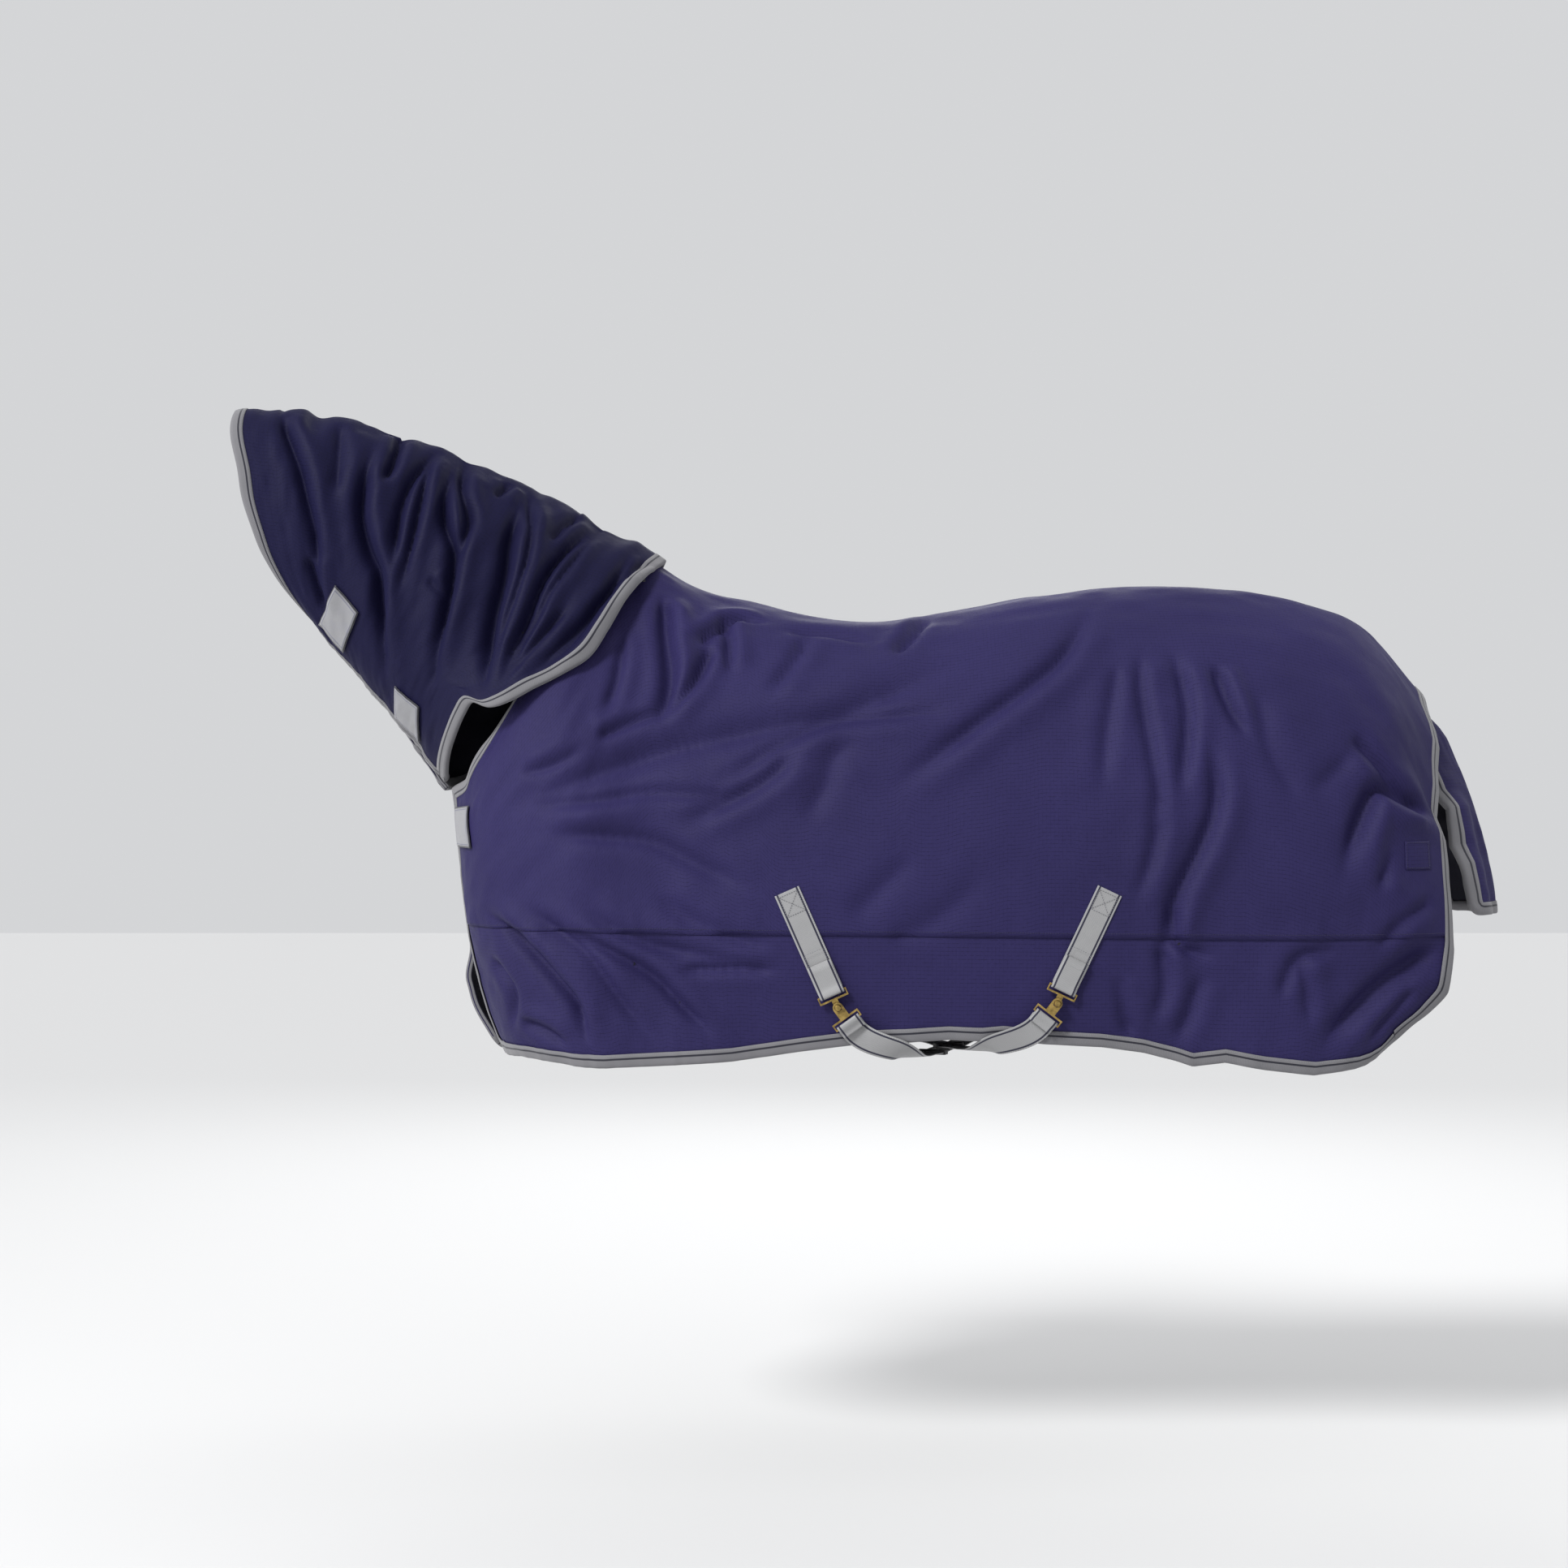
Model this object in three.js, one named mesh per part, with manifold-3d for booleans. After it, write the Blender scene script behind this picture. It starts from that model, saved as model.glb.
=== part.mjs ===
// A horse's turnout rug: body rug, neck cover, tail flap, and crossed surcingles with their fastenings.
// Millimetres. +X runs towards the tail, -Y is the near side and +Z is up.
// The origin is on the centre plane at the withers, where the rug's inner face rests on the horse.

import * as THREE from 'three';
import { mergeVertices } from 'three/addons/utils/BufferGeometryUtils.js';
import Module from 'manifold-3d';

const wasm = await Module();
wasm.setup();

// Body rug
const bodyLength = 1960; // chest centre line to the rear edge at the dock
const bodyDrop = 890; // withers to the lowest part of the hem
const hemHalfWidth = 335; // centre plane to the hem at the barrel
const seamDrop = 635; // withers down to the level seam between panel and skirt

// Neck cover, measured from its own rear rim
const neckLength = 865; // rim at the withers to the poll, along X
const neckRise = 300; // rim at the withers up to the poll
const pollDepth = 418; // poll down to the throat
const pollHalfWidth = 110;
const crestArch = 68; // how far the crest stands above a straight line
const coverClearance = 16; // outer face of the cover's rim above that of the body rug

// Cloth, webbing and gaps
const pieceGap = 0.3; // between pieces that touch
const clothGap = 1.5; // between neighbouring cloth pieces
const shellThickness = 4;
const liningThickness = 3;
const bindingWidth = 25;
const bindingProud = 1; // how far the binding stands out from the shell
const webbingWidth = 50;
const webbingThickness = 2;
const webbingLift = 1; // webbing above the shell's true surface
const tapeThickness = 2;
const tabWidth = 73; // along the throat
const tabHeight = 76; // up the side of the neck

// Tail flap
const flapLength = 410;
const flapTopHalfWidth = 75;
const flapBottomHalfWidth = 135;
const flapReach = 122; // how far the bottom stands behind the top
const flapCurl = 60; // how far the bottom corners come forward
const flapGap = 0.12 * bindingWidth; // wider than clothGap, because the binding twists at the flap's top

// Surcingle hardware
const barSize = 3.5; // side of the square bars
const loopClearance = 0.8; // webbing loop around the bar's corners
const frameSlot = 8; // clear height inside a buckle frame
const frameEnd = 4; // metal past each edge of the webbing
const hookTongue = 21;
const studRadius = 3.5;
const studHeadRadius = 6.5;
const studHeadThickness = 2.7;
const slotClearance = 1.1; // stud in the plate's slot
const playGap = 3.4; // between tongue, plate and stud head
const foldedTail = 62; // webbing folded back and sewn
const strapLoopGap = 0.08 * webbingWidth; // belly strap under its own folded tail
const sliderLength = 22;
const sliderWall = 3;
const sliderClearance = 0.7;
const hemClearance = 18; // belly straps below the hem
const strapCrossing = 12; // height between the two belly straps
const strapSag = 9; // belly straps hang this much lower at the middle

// Leg-strap rings behind the rear edges
const ringHalfWidth = 22;
const ringBar = 4;
const ringLeg = 8; // straight part beside the bar
const patchSize = 54;
const liningStandoff = 21; // ring loops inside the shell's surface

const shellDepth = [-shellThickness, 0];
const liningOuter = -shellThickness - pieceGap;
const liningDepth = [liningOuter - liningThickness, liningOuter];
const bindingDepth = [liningDepth[0] - bindingProud, bindingProud];

const finishes = {
  shell: [0x35325f, 0.75, 0],
  neckShell: [0x2a2750, 0.75, 0],
  lining: [0x14131f, 0.9, 0],
  binding: [0x8f8f92, 0.85, 0],
  webbing: [0xa3a2a6, 0.85, 0],
  tape: [0x1b1b22, 0.95, 0],
  label: [0xb4b3b8, 0.8, 0],
  brass: [0x8f7434, 0.35, 1],
  darkMetal: [0x2b2b2e, 0.5, 0.2],
};

const rug = new THREE.Group();

function addPiece(name, geometry, finish, matrix = new THREE.Matrix4()) {
  const [color, roughness, metalness] = finishes[finish];
  const mesh = new THREE.Mesh(geometry, new THREE.MeshStandardMaterial({ color, roughness, metalness }));
  mesh.name = name;
  mesh.applyMatrix4(matrix);
  rug.add(mesh);
  return mesh;
}

// ---- Surfaces: each is a loft over four guide curves, with a Bezier section across them ----

function bodyUnits(x, y, z) {
  return new THREE.Vector3(x * bodyLength, -y * hemHalfWidth, z * bodyDrop);
}

// Stations from the chest round the shoulder to the rear edge.
// Each gives the top edge, two shaping guides and the hem, in shares of length, half width and drop.
const bodyStations = [
  [[-0.286, 0, -0.416], [-0.273, 0, -0.584], [-0.277, 0, -0.798], [-0.233, 0, -1.003]],
  [[-0.263, 0.3, -0.376], [-0.265, 0.4, -0.528], [-0.263, 0.42, -0.798], [-0.217, 0.39, -1.003]],
  [[-0.224, 0.46, -0.253], [-0.24, 0.7, -0.382], [-0.219, 0.83, -0.73], [-0.179, 0.72, -1.007]],
  [[-0.173, 0.43, -0.079], [-0.176, 0.74, -0.18], [-0.148, 1.1, -0.596], [-0.117, 0.91, -1.004]],
  [[-0.1, 0, 0.095], [-0.097, 0.39, 0.06], [-0.066, 1.1, -0.404], [-0.048, 0.985, -0.998]],
  [[0, 0, 0.009], [0, 0.57, -0.011], [0.026, 1.16, -0.382], [0.031, 1, -0.984]],
  [[0.153, 0, -0.037], [0.153, 0.78, -0.039], [0.153, 1.16, -0.393], [0.153, 1, -0.944]],
  [[0.306, 0, 0.016], [0.306, 0.76, 0.011], [0.306, 1.16, -0.382], [0.306, 1, -0.95]],
  [[0.418, 0, 0.04], [0.421, 0.75, 0.036], [0.434, 1.15, -0.371], [0.434, 0.99, -0.989]],
  [[0.533, 0, 0.024], [0.541, 0.73, 0.013], [0.559, 1.12, -0.382], [0.536, 0.97, -1.015]],
  [[0.64, 0, -0.043], [0.65, 0.63, -0.084], [0.663, 1.03, -0.483], [0.605, 0.91, -1.015]],
  [[0.711, 0, -0.206], [0.722, 0.42, -0.326], [0.727, 0.9, -0.73], [0.659, 0.78, -0.966]],
];

function guidesThrough(stations) {
  return [0, 1, 2, 3].map((row) => {
    const points = stations.map((station) => station[row]);
    return new THREE.CatmullRomCurve3(points, false, 'catmullrom', 0.5);
  });
}

function bezierSection(points, v) {
  const w = 1 - v;
  return points[0].clone().multiplyScalar(w ** 3)
    .addScaledVector(points[1], 3 * w * w * v)
    .addScaledVector(points[2], 3 * w * v * v)
    .addScaledVector(points[3], v ** 3);
}

const bodyGuides = guidesThrough(bodyStations.map((station) => station.map((point) => bodyUnits(...point))));

function bodySurface(u, v) {
  const section = bodyGuides.map((guide) => guide.getPoint(u));
  section[0].y = Math.min(section[0].y, 0);
  return bezierSection(section, v);
}

function directionsOn(surface, u, v) {
  const step = 0.001;
  const [u0, u1] = [Math.max(u - step, 0), Math.min(u + step, 1)];
  const [v0, v1] = [Math.max(v - step, 0), Math.min(v + step, 1)];
  const along = surface(u1, v).sub(surface(u0, v)).divideScalar(u1 - u0);
  const down = surface(u, v1).sub(surface(u, v0)).divideScalar(v1 - v0);
  const normal = down.clone().cross(along).normalize();
  return { along, down, normal };
}

// The place on a surface that has a given x and z.
function findOn(surface, x, z) {
  let [bestU, bestV, bestMiss] = [0.5, 0.5, Infinity];
  for (let u = 0.02; u < 1; u += 0.04) {
    for (let v = 0.05; v <= 1; v += 0.05) {
      const point = surface(u, v);
      const miss = Math.hypot(point.x - x, point.z - z);
      if (miss < bestMiss) [bestU, bestV, bestMiss] = [u, v, miss];
    }
  }
  for (let pass = 0; pass < 12; pass += 1) {
    const point = surface(bestU, bestV);
    const { along, down } = directionsOn(surface, bestU, bestV);
    const [missX, missZ] = [x - point.x, z - point.z];
    const area = along.x * down.z - along.z * down.x;
    bestU = THREE.MathUtils.clamp(bestU + (missX * down.z - missZ * down.x) / area, 0, 1);
    bestV = THREE.MathUtils.clamp(bestV + (along.x * missZ - along.z * missX) / area, 0, 1);
  }
  return [bestU, bestV];
}

// The rear rim of the neck cover runs over the shoulder, outside the body rug.
function fittedRim(top, upper, lower, throat) {
  const rim = [top, upper, lower, throat];
  let reach = 0;
  for (let v = 0.2; v < 0.8; v += 0.1) {
    const point = bezierSection(rim, v);
    const body = bodySurface(...findOn(bodySurface, point.x, point.z));
    const share = 3 * v * (1 - v);
    reach = Math.max(reach, (coverClearance - body.y) / share);
  }
  upper.y = -reach;
  lower.y = -reach;
  return rim;
}

const coverRim = fittedRim(
  bodyUnits(-0.065, 0, 0.082).setZ(0.082 * bodyDrop + coverClearance),
  bodyUnits(-0.082, 0, -0.031),
  bodyUnits(-0.255, 0, -0.301),
  bodyUnits(-0.292, 0, -0.402),
);
const pollTop = coverRim[0].clone().add(new THREE.Vector3(-neckLength, 0, neckRise));
const sideGuide = pollHalfWidth / 0.75; // a Bezier guide this far out gives the stated half width
const pollRim = [
  pollTop,
  pollTop.clone().add(new THREE.Vector3(-0.02 * neckLength, -sideGuide, -0.02 * pollDepth)),
  pollTop.clone().add(new THREE.Vector3(0.04 * neckLength, -sideGuide, -0.75 * pollDepth)),
  pollTop.clone().add(new THREE.Vector3(0.177 * neckLength, 0, -pollDepth)),
];

function neckSurface(u, v) {
  const flare = u ** 2.2;
  const section = pollRim.map((point, row) => {
    const mixed = point.clone().lerp(coverRim[row], u);
    mixed.y = THREE.MathUtils.lerp(point.y, coverRim[row].y, flare);
    return mixed;
  });
  const arch = crestArch * Math.sin(Math.PI * u ** 0.8);
  section[0].z += arch;
  section[1].z += 0.8 * arch;
  return bezierSection(section, v);
}

// The tail flap hangs behind the dock and curls forward at both sides.
const dock = bodyUnits(0.711, 0, -0.206).add(new THREE.Vector3(20, 0, -26));

function flapSurface(u, v) {
  const across = 2 * u - 1;
  const halfWidth = THREE.MathUtils.lerp(flapTopHalfWidth, flapBottomHalfWidth, v);
  const curl = THREE.MathUtils.lerp(0.25 * flapCurl, flapCurl, v) * across * across;
  const back = flapReach * (1 - (1 - v) ** 1.6);
  return new THREE.Vector3(back - curl, across * halfWidth, -flapLength * v).add(dock);
}

// ---- Sheets: a surface divided into cells, so that neighbouring pieces share their edges ----

function edgeShare(surface, u, v, direction) {
  return bindingWidth / directionsOn(surface, u, v)[direction].length();
}

// A line of the sheet: the first and last strips are as wide as the binding, the rest are even.
function stripLine(index, count, first, last) {
  if (index === 0) return 0;
  if (index === 1 && first) return first;
  if (index === count - 1 && last) return 1 - last;
  if (index === count) return 1;
  const lead = first ? 1 : 0;
  const trail = last ? 1 : 0;
  return (index - lead) / (count - lead - trail);
}

const bodyColumns = 24;
const bodyRows = 10;
const seamRow = 6;
const collarColumns = 8; // columns whose top edge is the neckline

function seamShare(u) {
  let [low, high] = [0, 1];
  for (let pass = 0; pass < 24; pass += 1) {
    const middle = (low + high) / 2;
    if (bodySurface(u, middle).z > -seamDrop) low = middle;
    else high = middle;
  }
  return low;
}

function bodyRowLine(row, u) {
  const seam = seamShare(u);
  const collar = edgeShare(bodySurface, u, 0, 'down');
  const hem = edgeShare(bodySurface, u, 1, 'down');
  if (row === 0) return 0;
  if (row === bodyRows) return 1;
  if (row < seamRow) return THREE.MathUtils.lerp(collar, seam, (row - 1) / (seamRow - 1));
  return THREE.MathUtils.lerp(seam, 1 - hem, (row - seamRow) / (bodyRows - 1 - seamRow));
}

const bodySheet = {
  surface: bodySurface,
  columns: bodyColumns,
  rows: bodyRows,
  gap: clothGap,
  place(column, row) {
    let v = row / bodyRows;
    let u = 0;
    for (let pass = 0; pass < 3; pass += 1) {
      const chest = edgeShare(bodySurface, 0, v, 'along');
      const rear = edgeShare(bodySurface, 1, v, 'along');
      u = stripLine(column, bodyColumns, chest, rear);
      v = bodyRowLine(row, u);
    }
    return [u, v];
  },
};

function evenSheet(surface, columns, rows, gap) {
  return {
    surface,
    columns,
    rows,
    gap,
    place(column, row) {
      const u = stripLine(column, columns, edgeShare(surface, 0, row / rows, 'along'),
        edgeShare(surface, 1, row / rows, 'along'));
      const v = stripLine(row, rows, 0, edgeShare(surface, u, 1, 'down'));
      return [u, v];
    },
  };
}

const neckSheet = evenSheet(neckSurface, 10, 8, clothGap);
const flapSheet = evenSheet(flapSurface, 8, 6, flapGap);

// A closed slab over the chosen cells of a sheet, between two depths measured along the surface's normal.
function slabOver(sheet, chosen, [innerDepth, outerDepth], side = 'near', split = true) {
  const { columns, rows } = sheet;
  const has = (column, row) => column >= 0 && row >= 0 && column < columns && row < rows && chosen(column, row);
  const positions = [];
  const corners = new Map();
  const mirror = side === 'off' ? -1 : 1;

  function cornerAt(column, row) {
    const key = `${column},${row}`;
    if (corners.has(key)) return corners.get(key);
    let [u, v] = sheet.place(column, row);
    const cells = [has(column, row), has(column - 1, row), has(column, row - 1), has(column - 1, row - 1)];
    const [rightLow, leftLow, rightHigh, leftHigh] = cells.map(Number);
    const { along, down } = directionsOn(sheet.surface, u, v);
    const inset = sheet.gap / 2;
    u += Math.sign(rightLow + rightHigh - leftLow - leftHigh) * inset / along.length();
    v += Math.sign(rightLow + leftLow - rightHigh - leftHigh) * inset / down.length();
    const centre = sheet.surface(u, v);
    const { normal } = directionsOn(sheet.surface, u, v);
    const index = positions.length / 3;
    for (const depth of [outerDepth, innerDepth]) {
      const point = centre.clone().addScaledVector(normal, depth);
      if (split) point.y = Math.min(point.y, -pieceGap / 2);
      positions.push(point.x, mirror * point.y, point.z);
    }
    corners.set(key, index);
    return index;
  }

  const faces = [];
  const quad = (a, b, c, d) => faces.push(a, b, c, a, c, d);
  for (let column = 0; column < columns; column += 1) {
    for (let row = 0; row < rows; row += 1) {
      if (!has(column, row)) continue;
      const a = cornerAt(column, row);
      const b = cornerAt(column + 1, row);
      const c = cornerAt(column + 1, row + 1);
      const d = cornerAt(column, row + 1);
      quad(a, b, c, d);
      quad(a + 1, d + 1, c + 1, b + 1);
      if (!has(column, row - 1)) quad(b, a, a + 1, b + 1);
      if (!has(column + 1, row)) quad(c, b, b + 1, c + 1);
      if (!has(column, row + 1)) quad(d, c, c + 1, d + 1);
      if (!has(column - 1, row)) quad(a, d, d + 1, a + 1);
    }
  }
  return closedGeometry(positions, faces);
}

function closedGeometry(positions, faces) {
  let volume = 0;
  const corner = (index) => new THREE.Vector3().fromArray(positions, 3 * index);
  for (let face = 0; face < faces.length; face += 3) {
    const [a, b, c] = [corner(faces[face]), corner(faces[face + 1]), corner(faces[face + 2])];
    volume += a.dot(b.cross(c));
  }
  if (volume < 0) faces.reverse();
  const geometry = new THREE.BufferGeometry();
  geometry.setAttribute('position', new THREE.Float32BufferAttribute(positions, 3));
  geometry.setIndex(faces);
  geometry.computeVertexNormals();
  return geometry;
}

// A patch, tab or strap that lies on a surface: its own small sheet of evenly spaced cells.
function patchOn(surface, columns, rows, place, depths, side = 'near', split = true) {
  const sheet = { surface, columns, rows, gap: 0, place: (column, row) => place(column / columns, row / rows) };
  return slabOver(sheet, () => true, depths, side, split);
}

// ---- Body rug, neck cover and tail flap ----

function addBodyRug() {
  const inside = (column) => column > 0 && column < bodyColumns - 1;
  const collar = (column, row) => row === 0 && column <= collarColumns;
  const covered = (column, row) => inside(column) && row < bodyRows - 1 && !collar(column, row);
  const edges = {
    chest_binding: (column, row) => column === 0 && row > 0 && row < bodyRows - 1,
    neckline_binding: collar,
    rear_edge_binding: (column, row) => column === bodyColumns - 1 && row < bodyRows - 1,
    hem_binding: (column, row) => row === bodyRows - 1,
  };
  for (const side of ['near', 'off']) {
    const upper = slabOver(bodySheet, (c, r) => covered(c, r) && r < seamRow, shellDepth, side);
    const skirt = slabOver(bodySheet, (c, r) => covered(c, r) && r >= seamRow, shellDepth, side);
    addPiece(`body_panel_${side}`, upper, 'shell');
    addPiece(`body_skirt_${side}`, skirt, 'shell');
    addPiece(`body_lining_${side}`, slabOver(bodySheet, covered, liningDepth, side), 'lining');
    for (const [name, cells] of Object.entries(edges)) {
      addPiece(`${name}_${side}`, slabOver(bodySheet, cells, bindingDepth, side), 'binding');
    }
  }
}

function addNeckCover() {
  const { columns, rows } = neckSheet;
  const covered = (column, row) => column > 0 && column < columns - 1 && row < rows - 1;
  for (const side of ['near', 'off']) {
    addPiece(`neck_cover_${side}`, slabOver(neckSheet, covered, shellDepth, side), 'neckShell');
    addPiece(`neck_lining_${side}`, slabOver(neckSheet, covered, liningDepth, side), 'lining');
    const edge = slabOver(neckSheet, (c, r) => !covered(c, r), bindingDepth, side);
    addPiece(`neck_binding_${side}`, edge, 'binding');
  }
}

function addTailFlap() {
  const { columns, rows } = flapSheet;
  const covered = (column, row) => column > 0 && column < columns - 1 && row < rows - 1;
  addPiece('tail_flap', slabOver(flapSheet, covered, shellDepth, 'near', false), 'shell');
  addPiece('tail_flap_lining', slabOver(flapSheet, covered, liningDepth, 'near', false), 'lining');
  const edge = slabOver(flapSheet, (c, r) => !covered(c, r), bindingDepth, 'near', false);
  addPiece('tail_flap_binding', edge, 'binding');
}

// A frame on the near or off side: x across the strap, y down it, z out of the rug.
function frameOn(surface, [u, v], heading, lift, side) {
  const { normal } = directionsOn(surface, u, v);
  const point = surface(u, v).addScaledVector(normal, lift);
  const down = heading.clone();
  if (side === 'off') {
    point.y = -point.y;
    normal.y = -normal.y;
  }
  down.addScaledVector(normal, -down.dot(normal)).normalize();
  const across = down.clone().cross(normal);
  return new THREE.Matrix4().makeBasis(across, down, normal).setPosition(point);
}

// ---- Surcingles ----

// Top and bottom of each sewn webbing, in shares of the body's length and drop.
const surcingles = {
  front: { top: [0.0577, -0.634], bottom: [0.1, -0.845], plateTurn: 12 },
  rear: { top: [0.37, -0.633], bottom: [0.326, -0.836], plateTurn: -12 },
};
const loopInner = barSize * Math.SQRT1_2 + loopClearance;
const loopOuter = loopInner + webbingThickness;
const loopLift = webbingLift + webbingThickness + 3 * pieceGap + loopOuter;
const frameHalfWidth = webbingWidth / 2 + frameEnd;
const frameDepth = 2 * barSize + frameSlot;

function sidePoint([x, z]) {
  return new THREE.Vector3(x * bodyLength, 0, z * bodyDrop);
}

function headingOf({ top, bottom }) {
  return sidePoint(bottom).sub(sidePoint(top)).normalize();
}

function sewnWebbing(surcingle, side) {
  const start = sidePoint(surcingle.top);
  const heading = headingOf(surcingle);
  const length = sidePoint(surcingle.bottom).distanceTo(start);
  const across = new THREE.Vector3(heading.z, 0, -heading.x);
  const place = (s, t) => {
    const point = start.clone().addScaledVector(heading, t * length).addScaledVector(across, (s - 0.5) * webbingWidth);
    return findOn(bodySurface, point.x, point.z);
  };
  return patchOn(bodySurface, 2, 8, place, [webbingLift, webbingLift + webbingThickness], side);
}

// The loop's profile: a ring round the bar, with the folded tail leaving it along its lower side.
function webbingLoop(inner, thickness, tail, width) {
  const outer = inner + thickness;
  const profile = new THREE.Shape();
  const meet = Math.PI + Math.asin(inner / outer);
  profile.moveTo(0, -outer);
  profile.absarc(0, 0, outer, -Math.PI / 2, meet, false);
  profile.lineTo(-tail, -inner);
  profile.lineTo(-tail, -outer);
  const hole = new THREE.Path();
  hole.absarc(0, 0, inner, 0, 2 * Math.PI, false);
  profile.holes.push(hole);
  const loop = new THREE.ExtrudeGeometry(profile, { depth: width, bevelEnabled: false, curveSegments: 8 });
  const axes = new THREE.Matrix4().makeBasis(
    new THREE.Vector3(0, 1, 0), new THREE.Vector3(0, 0, 1), new THREE.Vector3(1, 0, 0));
  return loop.applyMatrix4(axes.setPosition(-width / 2, 0, 0));
}

function rectanglePath(path, x0, y0, x1, y1) {
  path.moveTo(x0, y0);
  path.lineTo(x1, y0);
  path.lineTo(x1, y1);
  path.lineTo(x0, y1);
  return path;
}

function flatSolid(shape, thickness, lift) {
  const solid = new THREE.ExtrudeGeometry(shape, { depth: thickness, bevelEnabled: false, curveSegments: 8 });
  return solid.translate(0, 0, lift);
}

function asManifold(geometry) {
  const bare = geometry.clone();
  bare.deleteAttribute('normal');
  bare.deleteAttribute('uv');
  const merged = mergeVertices(bare);
  return new wasm.Manifold(new wasm.Mesh({
    numProp: 3,
    vertProperties: new Float32Array(merged.attributes.position.array),
    triVerts: new Uint32Array(merged.index.array),
  }));
}

function joined(...geometries) {
  const whole = geometries.map(asManifold).reduce((sum, next) => sum.add(next));
  const mesh = whole.getMesh();
  const geometry = new THREE.BufferGeometry();
  geometry.setAttribute('position', new THREE.Float32BufferAttribute(Array.from(mesh.vertProperties), 3));
  geometry.setIndex(Array.from(mesh.triVerts));
  geometry.computeVertexNormals();
  return geometry;
}

// A buckle frame seen flat: its webbing bar lies on the x axis and the tongue points along +y.
function frameShape(tongueHalfWidth, tongue) {
  const shape = new THREE.Shape();
  const foot = frameDepth - barSize / 2;
  shape.moveTo(-frameHalfWidth, -barSize / 2);
  shape.lineTo(frameHalfWidth, -barSize / 2);
  shape.lineTo(frameHalfWidth, foot);
  shape.lineTo(tongueHalfWidth, foot);
  shape.lineTo(tongueHalfWidth, foot + tongue);
  shape.absarc(0, foot + tongue, tongueHalfWidth, 0, Math.PI, false);
  shape.lineTo(-tongueHalfWidth, foot);
  shape.lineTo(-frameHalfWidth, foot);
  const inner = frameHalfWidth - barSize + 1;
  shape.holes.push(rectanglePath(new THREE.Path(), -inner, barSize / 2, inner, barSize / 2 + frameSlot));
  return shape;
}

const studPlace = frameDepth - barSize / 2 + hookTongue - 6; // stud axis below the hook's webbing bar
const plateLift = barSize / 2 + playGap;
const headLift = plateLift + barSize + playGap;

function hookSolid() {
  const plate = flatSolid(frameShape(6, hookTongue - 6), barSize, -barSize / 2);
  const stud = new THREE.CylinderGeometry(studRadius, studRadius, headLift - 0.5 * barSize + 1, 16);
  stud.rotateX(Math.PI / 2).translate(0, studPlace, headLift / 2 + barSize / 4);
  const head = new THREE.CylinderGeometry(studHeadRadius * 0.8, studHeadRadius, studHeadThickness, 20);
  head.rotateX(Math.PI / 2).translate(0, studPlace, headLift + studHeadThickness / 2);
  return joined(plate, stud, head);
}

// The slot plate, with the stud's axis at its origin and its own webbing bar further down.
const plateBar = 35;

function slotPlateSolid() {
  const reach = plateBar - frameDepth + barSize / 2;
  const shape = frameShape(10, reach);
  const half = studRadius + slotClearance;
  const slot = new THREE.Path();
  slot.moveTo(half, plateBar - 7);
  slot.lineTo(half, plateBar);
  slot.absarc(0, plateBar, half, 0, Math.PI, false);
  slot.lineTo(-half, plateBar - 7);
  shape.holes.push(slot);
  const plate = flatSolid(shape, barSize, -barSize / 2);
  return plate.rotateZ(Math.PI).translate(0, plateBar, 0);
}

function ribbonSolid(curve, outward, width, thickness, steps) {
  const positions = [];
  for (let step = 0; step <= steps; step += 1) {
    const t = step / steps;
    const centre = curve.getPoint(t);
    const tangent = curve.getTangent(t);
    const out = outward.getPoint(t);
    out.addScaledVector(tangent, -out.dot(tangent)).normalize();
    const across = tangent.clone().cross(out);
    for (const [a, b] of [[-1, -1], [1, -1], [1, 1], [-1, 1]]) {
      const corner = centre.clone().addScaledVector(across, a * width / 2).addScaledVector(out, b * thickness / 2);
      positions.push(corner.x, corner.y, corner.z);
    }
  }
  const faces = [0, 2, 1, 0, 3, 2];
  for (let step = 0; step < steps; step += 1) {
    for (let edge = 0; edge < 4; edge += 1) {
      const [a, b] = [4 * step + edge, 4 * step + (edge + 1) % 4];
      // both broad faces of a twisted length split along matching diagonals
      if (edge < 2) faces.push(a, b, b + 4, a, b + 4, a + 4);
      else faces.push(a, b, a + 4, b, b + 4, a + 4);
    }
  }
  const last = 4 * steps;
  faces.push(last, last + 1, last + 2, last, last + 2, last + 3);
  return closedGeometry(positions, faces);
}

function hemPointAt(x, drop, side) {
  const [u] = findOn(bodySurface, x, -bodyDrop);
  const point = bodySurface(u, 1);
  point.z -= drop;
  if (side === 'off') point.y = -point.y;
  return point;
}

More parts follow.
